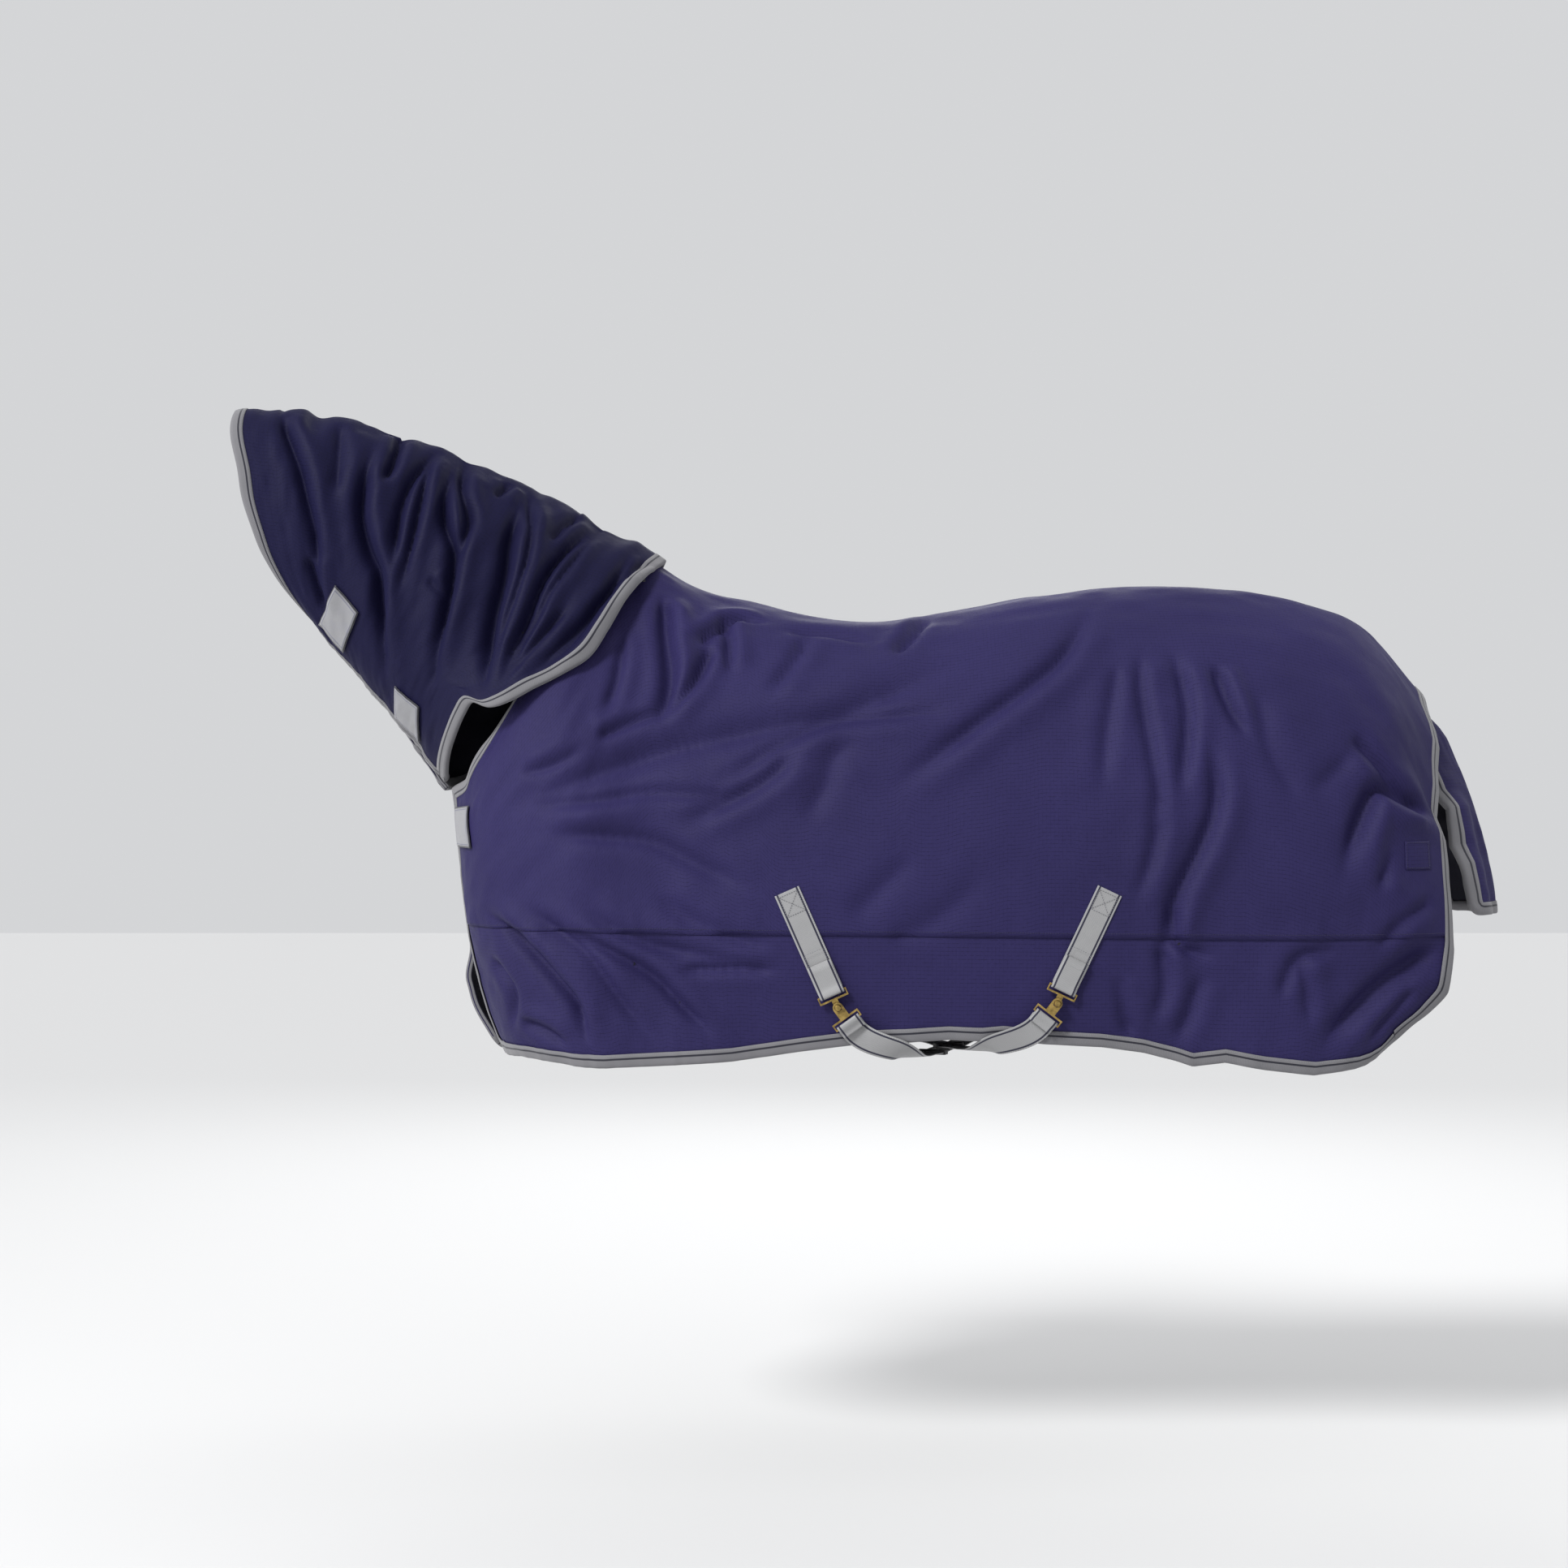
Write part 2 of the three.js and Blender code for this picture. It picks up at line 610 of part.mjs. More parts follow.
// A belly strap runs from its slot plate, under the hem and the belly, to the other webbing on the off side.
function addBellyStrap(name, plateFrame, farSurcingle, drop) {
  const across = new THREE.Vector3();
  const down = new THREE.Vector3();
  const out = new THREE.Vector3();
  plateFrame.extractBasis(across, down, out);
  const barPoint = new THREE.Vector3(0, plateBar, 0).applyMatrix4(plateFrame);
  const start = barPoint.clone().addScaledVector(down, loopOuter + pieceGap);
  start.addScaledVector(out, -loopOuter - webbingThickness / 2 - strapLoopGap);
  const farHeading = headingOf(farSurcingle);
  const farPlace = findOn(bodySurface, ...sidePoint(farSurcingle.bottom).toArray().filter((value, axis) => axis !== 1));
  const farFrame = frameOn(bodySurface, farPlace, farHeading, webbingLift + webbingThickness / 2, 'off');
  const farDown = new THREE.Vector3();
  const farOut = new THREE.Vector3();
  farFrame.extractBasis(new THREE.Vector3(), farDown, farOut);
  const end = new THREE.Vector3().setFromMatrixPosition(farFrame).addScaledVector(farDown, pieceGap);
  const x = (share) => THREE.MathUtils.lerp(start.x, end.x, share);
  const nearHem = hemPointAt(x(0.24), drop, 'near');
  const farHem = hemPointAt(x(0.76), drop, 'off');
  const level = Math.min(nearHem.z, farHem.z) - 10;
  const points = [start, start.clone().addScaledVector(down, 15), nearHem];
  for (const share of [-0.66, -0.44, -0.22, 0, 0.22, 0.44, 0.66]) {
    const along = THREE.MathUtils.mapLinear(share, -1, 1, 0.24, 0.76);
    points.push(new THREE.Vector3(x(along), share * hemHalfWidth, level - strapSag * (1 - share * share)));
  }
  points.push(farHem, end.clone().addScaledVector(farDown, 35), end);
  const curve = new THREE.CatmullRomCurve3(points, false, 'centripetal');
  const normals = points.map((point) => new THREE.Vector3(0, point.y, -0.25 * bodyDrop));
  normals[0].copy(out);
  normals[1].copy(out);
  normals[points.length - 2].copy(farOut);
  normals[points.length - 1].copy(farOut);
  for (let index = 3; index < points.length - 3; index += 1) normals[index].set(0, 0, -1);
  normals.forEach((normal) => normal.normalize());
  const outward = new THREE.CatmullRomCurve3(normals, false, 'centripetal');
  addPiece(`belly_strap_${name}`, ribbonSolid(curve, outward, webbingWidth, webbingThickness, 40), 'webbing');

  const sliderCentre = points[4].clone().lerp(points[5], 0.5);
  const run = points[5].clone().sub(points[4]).normalize();
  const up = new THREE.Vector3(0, 0, 1);
  const slot = [webbingWidth / 2 + sliderClearance, webbingThickness / 2 + sliderClearance];
  const body = rectanglePath(new THREE.Shape(), -slot[0] - sliderWall, -slot[1] - sliderWall,
    slot[0] + sliderWall, slot[1] + sliderWall);
  body.holes.push(rectanglePath(new THREE.Path(), -slot[0], -slot[1], slot[0], slot[1]));
  const slider = flatSolid(body, sliderLength, -sliderLength / 2);
  const sliderFrame = new THREE.Matrix4().makeBasis(up.clone().cross(run), up, run).setPosition(sliderCentre);
  addPiece(`strap_slider_${name}`, slider, 'darkMetal', sliderFrame);
}

function addSurcingle(name, farName, drop) {
  const surcingle = surcingles[name];
  const heading = headingOf(surcingle);
  addPiece(`webbing_${name}_near`, sewnWebbing(surcingle, 'near'), 'webbing');
  addPiece(`webbing_${name}_off`, sewnWebbing(surcingle, 'off'), 'webbing');
  const end = sidePoint(surcingle.bottom).addScaledVector(heading, loopOuter + pieceGap);
  const place = findOn(bodySurface, end.x, end.z);
  const hookFrame = frameOn(bodySurface, place, heading, loopLift, 'near');
  const loopWidth = 2 * (frameHalfWidth - barSize) - 2;
  const loop = webbingLoop(loopInner, webbingThickness, foldedTail, loopWidth);
  addPiece(`webbing_loop_${name}`, loop, 'webbing', hookFrame);
  addPiece(`hook_${name}`, hookSolid(), 'brass', hookFrame);
  const turn = new THREE.Matrix4().makeRotationZ(THREE.MathUtils.degToRad(surcingle.plateTurn));
  const stud = new THREE.Matrix4().makeTranslation(0, studPlace, plateLift + barSize / 2);
  const plateFrame = hookFrame.clone().multiply(stud).multiply(turn);
  addPiece(`slot_plate_${name}`, slotPlateSolid(), 'brass', plateFrame);
  const strapLoop = webbingLoop(loopInner, webbingThickness, foldedTail / 3, loopWidth);
  strapLoop.rotateZ(Math.PI).translate(0, plateBar, 0);
  addPiece(`strap_loop_${name}`, strapLoop, 'webbing', plateFrame);
  addBellyStrap(name, plateFrame, surcingles[farName], drop);
}

// ---- Tabs, patches and rings ----

// A closing tab lies over the neck cover or chest, hinged along the centre line, with a label on it.
function addTab(name, surface, place, lift) {
  const tab = patchOn(surface, 4, 5, place, [lift, lift + tapeThickness]);
  const inset = (s, t) => place(0.12 + 0.76 * s, 0.08 + 0.8 * t);
  const labelLift = lift + tapeThickness + clothGap;
  const label = patchOn(surface, 4, 5, inset, [labelLift, labelLift + 1]);
  addPiece(name, tab, 'tape');
  addPiece(`${name}_label`, label, 'label');
}

function addTabs() {
  const throat = coverRim[3].clone().sub(pollRim[3]).normalize();
  const throatTab = (start, upward) => (s, t) => {
    const point = pollRim[3].clone().addScaledVector(throat, start + s * tabWidth);
    point.add(new THREE.Vector3(...upward).setLength(6 + t * tabHeight));
    return findOn(neckSurface, point.x, point.z);
  };
  addTab('throat_tab_front', neckSurface, throatTab(28, [0.55, 0, 0.83]), bindingProud + 1);
  addTab('throat_tab_rear', neckSurface, throatTab(265, [0.25, 0, 0.95]), bindingProud + 1);
  const chestTop = seamShare(0) * 0.16;
  addTab('chest_tab', bodySurface, (s, t) => [0.004 + t * 0.075, chestTop + s * 0.16], bindingProud + 1);
}

function addWithersTape() {
  const place = (s, t) => [0.345 + s * 0.03, 0.01 + t * 0.16];
  const depths = [bindingProud + pieceGap, bindingProud + pieceGap + 0.75 * tapeThickness];
  for (const side of ['near', 'off']) {
    addPiece(`withers_tape_${side}`, patchOn(bodySurface, 2, 4, place, depths, side), 'tape');
  }
}

function ringShape() {
  const shape = new THREE.Shape();
  shape.moveTo(-ringHalfWidth, -ringBar / 2);
  shape.lineTo(ringHalfWidth, -ringBar / 2);
  shape.absarc(0, ringLeg, ringHalfWidth, 0, Math.PI, false);
  const hole = new THREE.Path();
  const inner = ringHalfWidth - ringBar;
  hole.moveTo(-inner, ringBar / 2);
  hole.lineTo(inner, ringBar / 2);
  hole.absarc(0, ringLeg, inner, 0, Math.PI, false);
  shape.holes.push(hole);
  return shape;
}

function addLegRings() {
  const centre = sidePoint([0.676, -0.56]);
  const heading = new THREE.Vector3(0, 0, -1);
  const half = patchSize / 2;
  const place = (s, t) => findOn(bodySurface, centre.x + (s - 0.5) * patchSize, centre.z + (0.5 - t) * patchSize);
  const ringPlace = findOn(bodySurface, centre.x - 12, centre.z);
  for (const side of ['near', 'off']) {
    addPiece(`rear_patch_${side}`, patchOn(bodySurface, 2, 2, place, [1, 2], side), 'shell');
    const frame = frameOn(bodySurface, ringPlace, heading, -liningStandoff, side);
    const inner = ringBar * Math.SQRT1_2 + loopClearance;
    const loop = webbingLoop(inner, webbingThickness, half, 2 * (ringHalfWidth - ringBar) - 2);
    loop.rotateY(Math.PI);
    addPiece(`ring_loop_${side}`, loop, 'webbing', frame);
    addPiece(`leg_ring_${side}`, flatSolid(ringShape(), ringBar, -ringBar / 2), 'brass', frame);
  }
}

addBodyRug();
addNeckCover();
addTailFlap();
addSurcingle('front', 'rear', hemClearance + strapCrossing);
addSurcingle('rear', 'front', hemClearance);
addTabs();
addWithersTape();
addLegRings();

export default rug;
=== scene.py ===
import math

import bpy
import bmesh
import numpy as np
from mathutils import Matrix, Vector
from mathutils.kdtree import KDTree


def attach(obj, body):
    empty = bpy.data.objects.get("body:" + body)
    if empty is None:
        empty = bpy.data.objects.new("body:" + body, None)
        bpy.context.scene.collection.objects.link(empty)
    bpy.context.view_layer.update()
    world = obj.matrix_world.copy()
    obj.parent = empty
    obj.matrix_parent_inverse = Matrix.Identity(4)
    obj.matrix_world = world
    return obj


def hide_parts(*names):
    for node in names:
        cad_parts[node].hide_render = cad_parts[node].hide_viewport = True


# A turnout rug with neck cover. Metres: +X to the tail, -Y the near side, +Z up, origin at the withers.

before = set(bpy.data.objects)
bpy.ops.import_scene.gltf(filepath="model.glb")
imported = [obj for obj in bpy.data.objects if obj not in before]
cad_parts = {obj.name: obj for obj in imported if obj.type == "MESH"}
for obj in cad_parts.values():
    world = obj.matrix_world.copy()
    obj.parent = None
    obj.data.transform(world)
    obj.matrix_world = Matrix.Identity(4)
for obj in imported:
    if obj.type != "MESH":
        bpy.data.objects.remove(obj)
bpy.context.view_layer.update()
scene = bpy.context.scene
print("frame loaded")

# ---- camera, floor and light ----

studio = {
    "camera": (0.108, -5.83, -0.361),
    "lens": 66.5,
    "floorHeight": -1.69,
    "floorSize": 40.0,
    "floorColour": (0.62, 0.62, 0.62, 1),
    "skyColour": (0.97, 0.98, 1.0, 1),
    "skyStrength": 0.68,
    "sunStrength": 2.6,
    "sunSpread": math.radians(16),
    "sunFrom": (-3.4, -3.6, 4.2),
}


def addCamera():
    data = bpy.data.cameras.new("camera")
    data.lens = studio["lens"]
    data.sensor_width = 36
    data.clip_end = 200
    camera = bpy.data.objects.new("camera", data)
    camera.location = studio["camera"]
    camera.rotation_euler = (math.pi / 2, 0, 0)
    scene.collection.objects.link(camera)
    scene.camera = camera


def addLight(name, place, target, size, power, colour=(1, 1, 1)):
    data = bpy.data.lights.new(name, "AREA")
    data.shape = "DISK"
    data.size = size
    data.energy = power
    data.color = colour
    light = bpy.data.objects.new(name, data)
    light.location = place
    light.rotation_euler = (Vector(target) - Vector(place)).to_track_quat("-Z", "Y").to_euler()
    scene.collection.objects.link(light)


def addStudio():
    addCamera()
    world = bpy.data.worlds.new("studio")
    scene.world = world
    world.use_nodes = True
    sky = world.node_tree.nodes["Background"]
    sky.inputs["Color"].default_value = studio["skyColour"]
    sky.inputs["Strength"].default_value = studio["skyStrength"]
    sun = bpy.data.objects.new("keyLight", bpy.data.lights.new("keyLight", "SUN"))
    sun.data.energy = studio["sunStrength"]
    sun.data.angle = studio["sunSpread"]
    sun.rotation_euler = Vector(studio["sunFrom"]).to_track_quat("Z", "Y").to_euler()
    scene.collection.objects.link(sun)
    addLight("chestLight", (-3.6, -1.8, 0.6), (-0.4, 0, -0.5), 2.2, 60)
    addLight("rumpLight", (4.2, 1.5, 2.6), (1.0, 0, -0.2), 2.6, 45)
    addLight("backLight", (0.5, 5.2, 2.2), (0.2, 0, -0.3), 3.2, 90)
    half = studio["floorSize"] / 2
    corners = [(-half, -half, 0), (half, -half, 0), (half, half, 0), (-half, half, 0)]
    mesh = bpy.data.meshes.new("studioFloor")
    mesh.from_pydata(corners, [], [(0, 1, 2, 3)])
    floor = bpy.data.objects.new("studioFloor", mesh)
    floor.location.z = studio["floorHeight"]
    scene.collection.objects.link(floor)
    pale = bpy.data.materials.new("paleFloor")
    pale.use_nodes = True
    shader = pale.node_tree.nodes["Principled BSDF"]
    shader.inputs["Base Color"].default_value = studio["floorColour"]
    shader.inputs["Roughness"].default_value = 0.9
    mesh.materials.append(pale)


addStudio()
scene.view_settings.view_transform = "Standard"
print("studio ready")

# ---- material helpers ----


class Nodes:
    # a short way to add and link nodes in one material
    def __init__(self, name):
        self.material = bpy.data.materials.new(name)
        self.material.use_nodes = True
        self.tree = self.material.node_tree
        self.shader = self.tree.nodes["Principled BSDF"]

    def add(self, kind, links=None, **settings):
        node = self.tree.nodes.new(kind)
        for key, value in settings.items():
            setattr(node, key, value)
        for key, value in (links or {}).items():
            socket = node.inputs[key]
            if isinstance(value, bpy.types.NodeSocket):
                self.tree.links.new(value, socket)
            else:
                socket.default_value = value
        return node

    def math(self, operation, a, b=0.0, c=0.0):
        return self.add("ShaderNodeMath", {0: a, 1: b, 2: c}, operation=operation).outputs[0]

    def mix(self, share, a, b):
        node = self.add("ShaderNodeMix", data_type="RGBA")
        for index, value in ((0, share), (6, a), (7, b)):
            if isinstance(value, bpy.types.NodeSocket):
                self.tree.links.new(value, node.inputs[index])
            else:
                node.inputs[index].default_value = value
        return node.outputs[2]

    def noise(self, vector, scale, detail=3.0, roughness=0.5):
        links = {"Vector": vector, "Scale": scale, "Detail": detail, "Roughness": roughness}
        return self.add("ShaderNodeTexNoise", links).outputs["Fac"]

    def ramp(self, value, low, high):
        node = self.add("ShaderNodeMapRange", {"Value": value, "From Min": low, "From Max": high})
        return node.outputs[0]

    def cloth(self):
        # metres along and across the cloth, from the piece's own unrolled coordinates
        node = self.add("ShaderNodeUVMap", uv_map="cloth")
        return node.outputs[0]

    def split(self, vector):
        node = self.add("ShaderNodeSeparateXYZ", {0: vector})
        return node.outputs[0], node.outputs[1]

    def place(self):
        return self.add("ShaderNodeTexCoord").outputs["Object"]

    def line(self, coordinate, spacing, width, shift=0.0):
        # 1 on thin lines that repeat every spacing
        moved = self.math("ADD", coordinate, shift)
        nearest = self.math("PINGPONG", moved, spacing / 2)
        return self.add("ShaderNodeMapRange", {
            "Value": nearest, "From Min": width / 2, "From Max": width * 0.2, "To Min": 0.0, "To Max": 1.0,
        }, interpolation_type="SMOOTHSTEP").outputs[0]

    def bump(self, height, distance, strength=1.0, under=None):
        links = {"Height": height, "Distance": distance, "Strength": strength}
        if under is not None:
            links["Normal"] = under
        return self.add("ShaderNodeBump", links).outputs[0]

    def finish(self, colour, roughness, normal=None, **constants):
        for name, value in (("Base Color", colour), ("Roughness", roughness), ("Normal", normal)):
            if value is None:
                continue
            if isinstance(value, bpy.types.NodeSocket):
                self.tree.links.new(value, self.shader.inputs[name])
            else:
                self.shader.inputs[name].default_value = value
        for name, value in constants.items():
            self.shader.inputs[name].default_value = value
        return self.material


ripstopSpacing = 0.0075  # between the heavier threads


def ripstopCloth(name, colour, dusty, gloss):
    # proofed ripstop: fine plain weave, a heavier thread every few millimetres, faint dust
    n = Nodes(name)
    cloth = n.cloth()
    along, across = n.split(cloth)
    place = n.place()
    rows = n.line(across, ripstopSpacing, 0.0016)
    columns = n.line(along, ripstopSpacing, 0.0013)
    heavy = n.math("MAXIMUM", n.math("MULTIPLY", rows, 0.8), n.math("MULTIPLY", columns, 0.45))
    broken = n.ramp(n.noise(cloth, 160, 2, 0.6), 0.32, 0.62)
    threads = n.math("MULTIPLY", heavy, broken)
    weave = n.add("ShaderNodeTexWave", {"Vector": cloth, "Scale": 420, "Distortion": 1.2, "Detail": 1.0},
                  bands_direction="DIAGONAL").outputs["Fac"]
    cloudy = n.noise(place, 2.6, 4, 0.55)
    mottled = n.noise(place, 38, 3, 0.6)
    base = n.mix(n.ramp(cloudy, 0.3, 0.75), (*[c * 0.9 for c in colour], 1), (*[c * 1.13 for c in colour], 1))
    base = n.mix(n.math("MULTIPLY", threads, 0.8), base, (*[c * 0.4 for c in colour], 1))
    base = n.mix(n.math("MULTIPLY", n.ramp(mottled, 0.52, 0.85), 0.16), base, dusty)
    creases = n.noise(place, 21, 5, 0.62)
    puckers = n.noise(cloth, 62, 3, 0.6)
    normal = n.bump(creases, 0.004, 0.32)
    normal = n.bump(puckers, 0.0012, 0.3, normal)
    normal = n.bump(threads, 0.00035, 0.55, normal)
    normal = n.bump(weave, 0.00012, 0.3, normal)
    roughness = n.math("ADD", gloss, n.math("MULTIPLY", mottled, 0.16))
    return n.finish(base, roughness, normal, **{
        "Specular IOR Level": 0.1, "Sheen Weight": 0.03, "Sheen Roughness": 0.4,
        "Sheen Tint": (0.4, 0.42, 0.9, 1),
    })


def liningCloth():
    n = Nodes("nylonLining")
    cloth = n.cloth()
    place = n.place()
    quilt = n.noise(place, 9, 3, 0.5)
    weave = n.add("ShaderNodeTexWave", {"Vector": cloth, "Scale": 300, "Distortion": 0.6},
                  bands_direction="DIAGONAL").outputs["Fac"]
    colour = n.mix(n.ramp(quilt, 0.3, 0.7), (0.006, 0.006, 0.011, 1), (0.017, 0.016, 0.027, 1))
    normal = n.bump(quilt, 0.006, 0.4)
    normal = n.bump(weave, 0.0001, 0.3, normal)
    roughness = n.math("ADD", 0.55, n.math("MULTIPLY", quilt, 0.2))
    return n.finish(colour, roughness, normal, **{"Specular IOR Level": 0.14, "Sheen Weight": 0.02})


def bandCloth(name, pale, dark, stripes, width, stitchShare):
    # woven tape: a twill with dark lines at set shares of its width, and stitching along it
    n = Nodes(name)
    cloth = n.cloth()
    along, across = n.split(cloth)
    place = n.place()
    share = n.math("DIVIDE", across, width)
    lines = None
    for middle, halfShare in stripes:
        away = n.math("ABSOLUTE", n.math("SUBTRACT", share, middle))
        one = n.add("ShaderNodeMapRange", {
            "Value": away, "From Min": halfShare * 1.12, "From Max": halfShare * 0.86,
        }, interpolation_type="SMOOTHSTEP").outputs[0]
        lines = one if lines is None else n.math("MAXIMUM", lines, one)
    twill = n.add("ShaderNodeTexWave", {"Vector": cloth, "Scale": 190, "Distortion": 0.7, "Detail": 1.0},
                  bands_direction="DIAGONAL").outputs["Fac"]
    ribs = n.add("ShaderNodeTexWave", {"Vector": cloth, "Scale": 240, "Distortion": 0.3},
                 bands_direction="X").outputs["Fac"]
    soil = n.noise(place, 12, 4, 0.6)
    base = n.mix(n.math("MULTIPLY", twill, 0.5), pale, (*[c * 0.8 for c in pale[:3]], 1))
    base = n.mix(n.math("MULTIPLY", n.ramp(soil, 0.45, 0.8), 0.35), base, (*[c * 0.66 for c in pale[:3]], 1))
    base = n.mix(lines, base, dark)
    stitch = n.math("MULTIPLY", n.line(along, 0.0042, 0.0026),
                    n.math("LESS_THAN", n.math("ABSOLUTE", n.math("SUBTRACT", share, stitchShare)), 0.02))
    base = n.mix(n.math("MULTIPLY", stitch, 0.6), base, (*[min(1, c * 1.5) for c in pale[:3]], 1))
    normal = n.bump(twill, 0.0003, 0.5)
    normal = n.bump(ribs, 0.0002, 0.4, normal)
    normal = n.bump(stitch, 0.0006, 0.6, normal)
    normal = n.bump(soil, 0.003, 0.25, normal)
    roughness = n.math("ADD", 0.7, n.math("MULTIPLY", soil, 0.2))
    return n.finish(base, roughness, normal, **{"Specular IOR Level": 0.25, "Sheen Weight": 0.2})


def touchTape():
    n = Nodes("touchTape")
    place = n.place()
    fuzz = n.noise(place, 900, 2, 0.7)
    wear = n.noise(place, 30, 3, 0.6)
    colour = n.mix(fuzz, (0.01, 0.01, 0.016, 1), (0.045, 0.045, 0.06, 1))
    normal = n.bump(fuzz, 0.0009, 0.8)
    roughness = n.math("ADD", 0.75, n.math("MULTIPLY", wear, 0.2))
    return n.finish(colour, roughness, normal, **{"Sheen Weight": 0.3})


def wovenLabel():
    # plain grey patch with a stitched border, no lettering
    n = Nodes("wovenLabel")
    cloth = n.cloth()
    along, across = n.split(cloth)
    place = n.place()
    weave = n.add("ShaderNodeTexWave", {"Vector": cloth, "Scale": 46, "Distortion": 0.4},
                  bands_direction="Y").outputs["Fac"]
    soil = n.noise(place, 40, 4, 0.6)
    base = n.mix(n.math("MULTIPLY", weave, 0.4), (0.25, 0.25, 0.262, 1), (0.19, 0.19, 0.205, 1))
    base = n.mix(n.math("MULTIPLY", n.ramp(soil, 0.5, 0.8), 0.4), base, (0.22, 0.22, 0.27, 1))
    edge = n.math("MAXIMUM", n.math("ABSOLUTE", n.math("SUBTRACT", along, 0.5)),
                  n.math("ABSOLUTE", n.math("SUBTRACT", across, 0.5)))
    border = n.math("MULTIPLY", n.math("GREATER_THAN", edge, 0.435), n.math("LESS_THAN", edge, 0.46))
    base = n.mix(n.math("MULTIPLY", border, 0.55), base, (0.06, 0.06, 0.13, 1))
    normal = n.bump(weave, 0.0002, 0.5)
    normal = n.bump(soil, 0.0015, 0.3, normal)
    roughness = n.math("ADD", 0.62, n.math("MULTIPLY", soil, 0.25))
    return n.finish(base, roughness, normal, **{"Sheen Weight": 0.15})


def dullBrass():
    n = Nodes("dullBrass")
    place = n.place()
    tarnish = n.noise(place, 70, 5, 0.65)
    scratch = n.noise(place, 900, 2, 0.5)
    colour = n.mix(n.ramp(tarnish, 0.38, 0.72), (0.47, 0.33, 0.11, 1), (0.12, 0.085, 0.035, 1))
    roughness = n.math("ADD", 0.27, n.math("MULTIPLY", tarnish, 0.32))
    normal = n.bump(scratch, 0.0002, 0.35)
    normal = n.bump(tarnish, 0.0004, 0.4, normal)
    return n.finish(colour, roughness, normal, Metallic=1.0)


def mattBlack():
    n = Nodes("mattBlack")
    place = n.place()
    grain = n.noise(place, 1400, 2, 0.6)
    wear = n.noise(place, 60, 4, 0.6)
    colour = n.mix(n.ramp(wear, 0.4, 0.75), (0.012, 0.012, 0.014, 1), (0.035, 0.035, 0.038, 1))
    normal = n.bump(grain, 0.0003, 0.4)
    return n.finish(colour, n.math("ADD", 0.45, n.math("MULTIPLY", wear, 0.25)), normal)


def threadCloth(name, colour):
    n = Nodes(name)
    place = n.place()
    twist = n.noise(place, 1200, 2, 0.6)
    base = n.mix(twist, (*[c * 0.7 for c in colour], 1), (*[c * 1.3 for c in colour], 1))
    return n.finish(base, n.math("ADD", 0.6, n.math("MULTIPLY", twist, 0.2)), n.bump(twist, 0.0004, 0.5))


bandWidth = 0.025
webbingWidth = 0.05
finishes = {
    "shell": ripstopCloth("bodyRipstop", (0.0228, 0.0186, 0.0735), (0.038, 0.034, 0.112, 1), 0.54),
    "neckShell": ripstopCloth("neckRipstop", (0.0078, 0.0072, 0.0325), (0.016, 0.015, 0.056, 1), 0.54),
    "lining": liningCloth(),
    "binding": bandCloth("edgeBinding", (0.165, 0.163, 0.175, 1), (0.017, 0.017, 0.026, 1),
                         [(0.635, 0.075)], bandWidth, 0.9),
    "webbing": bandCloth("surcingleWebbing", (0.30, 0.30, 0.305, 1), (0.022, 0.022, 0.04, 1),
                         [(0.105, 0.036), (0.895, 0.036)], webbingWidth, 0.04),
    "tape": touchTape(),
    "label": wovenLabel(),
    "brass": dullBrass(),
    "slider": mattBlack(),
    "thread": threadCloth("navyThread", (0.03, 0.027, 0.075)),
    "paleThread": threadCloth("greyThread", (0.2, 0.2, 0.22)),
}
print("finishes ready")

# ---- the same curved surfaces as the CAD part, on arrays ----

rug = {
    "bodyLength": 1.96,
    "bodyDrop": 0.89,
    "hemHalfWidth": 0.335,
    "seamDrop": 0.635,
    "neckLength": 0.865,
    "neckRise": 0.3,
    "pollDepth": 0.418,
    "pollHalfWidth": 0.11,
    "crestArch": 0.068,
    "collarShare": 4 / 11,  # how far along the body the neckline ends and the spine begins
}

bodyStations = np.array([
    [[-0.286, 0, -0.416], [-0.273, 0, -0.584], [-0.277, 0, -0.798], [-0.233, 0, -1.003]],
    [[-0.263, 0.3, -0.376], [-0.265, 0.4, -0.528], [-0.263, 0.42, -0.798], [-0.217, 0.39, -1.003]],
    [[-0.224, 0.46, -0.253], [-0.24, 0.7, -0.382], [-0.219, 0.83, -0.73], [-0.179, 0.72, -1.007]],
    [[-0.173, 0.43, -0.079], [-0.176, 0.74, -0.18], [-0.148, 1.1, -0.596], [-0.117, 0.91, -1.004]],
    [[-0.1, 0, 0.095], [-0.097, 0.39, 0.06], [-0.066, 1.1, -0.404], [-0.048, 0.985, -0.998]],
    [[0, 0, 0.009], [0, 0.57, -0.011], [0.026, 1.16, -0.382], [0.031, 1, -0.984]],
    [[0.153, 0, -0.037], [0.153, 0.78, -0.039], [0.153, 1.16, -0.393], [0.153, 1, -0.944]],
    [[0.306, 0, 0.016], [0.306, 0.76, 0.011], [0.306, 1.16, -0.382], [0.306, 1, -0.95]],
    [[0.418, 0, 0.04], [0.421, 0.75, 0.036], [0.434, 1.15, -0.371], [0.434, 0.99, -0.989]],
    [[0.533, 0, 0.024], [0.541, 0.73, 0.013], [0.559, 1.12, -0.382], [0.536, 0.97, -1.015]],
    [[0.64, 0, -0.043], [0.65, 0.63, -0.084], [0.663, 1.03, -0.483], [0.605, 0.91, -1.015]],
    [[0.711, 0, -0.206], [0.722, 0.42, -0.326], [0.727, 0.9, -0.73], [0.659, 0.78, -0.966]],
])
bodyScale = np.array([rug["bodyLength"], -rug["hemHalfWidth"], rug["bodyDrop"]])
bodyGuides = bodyStations * bodyScale


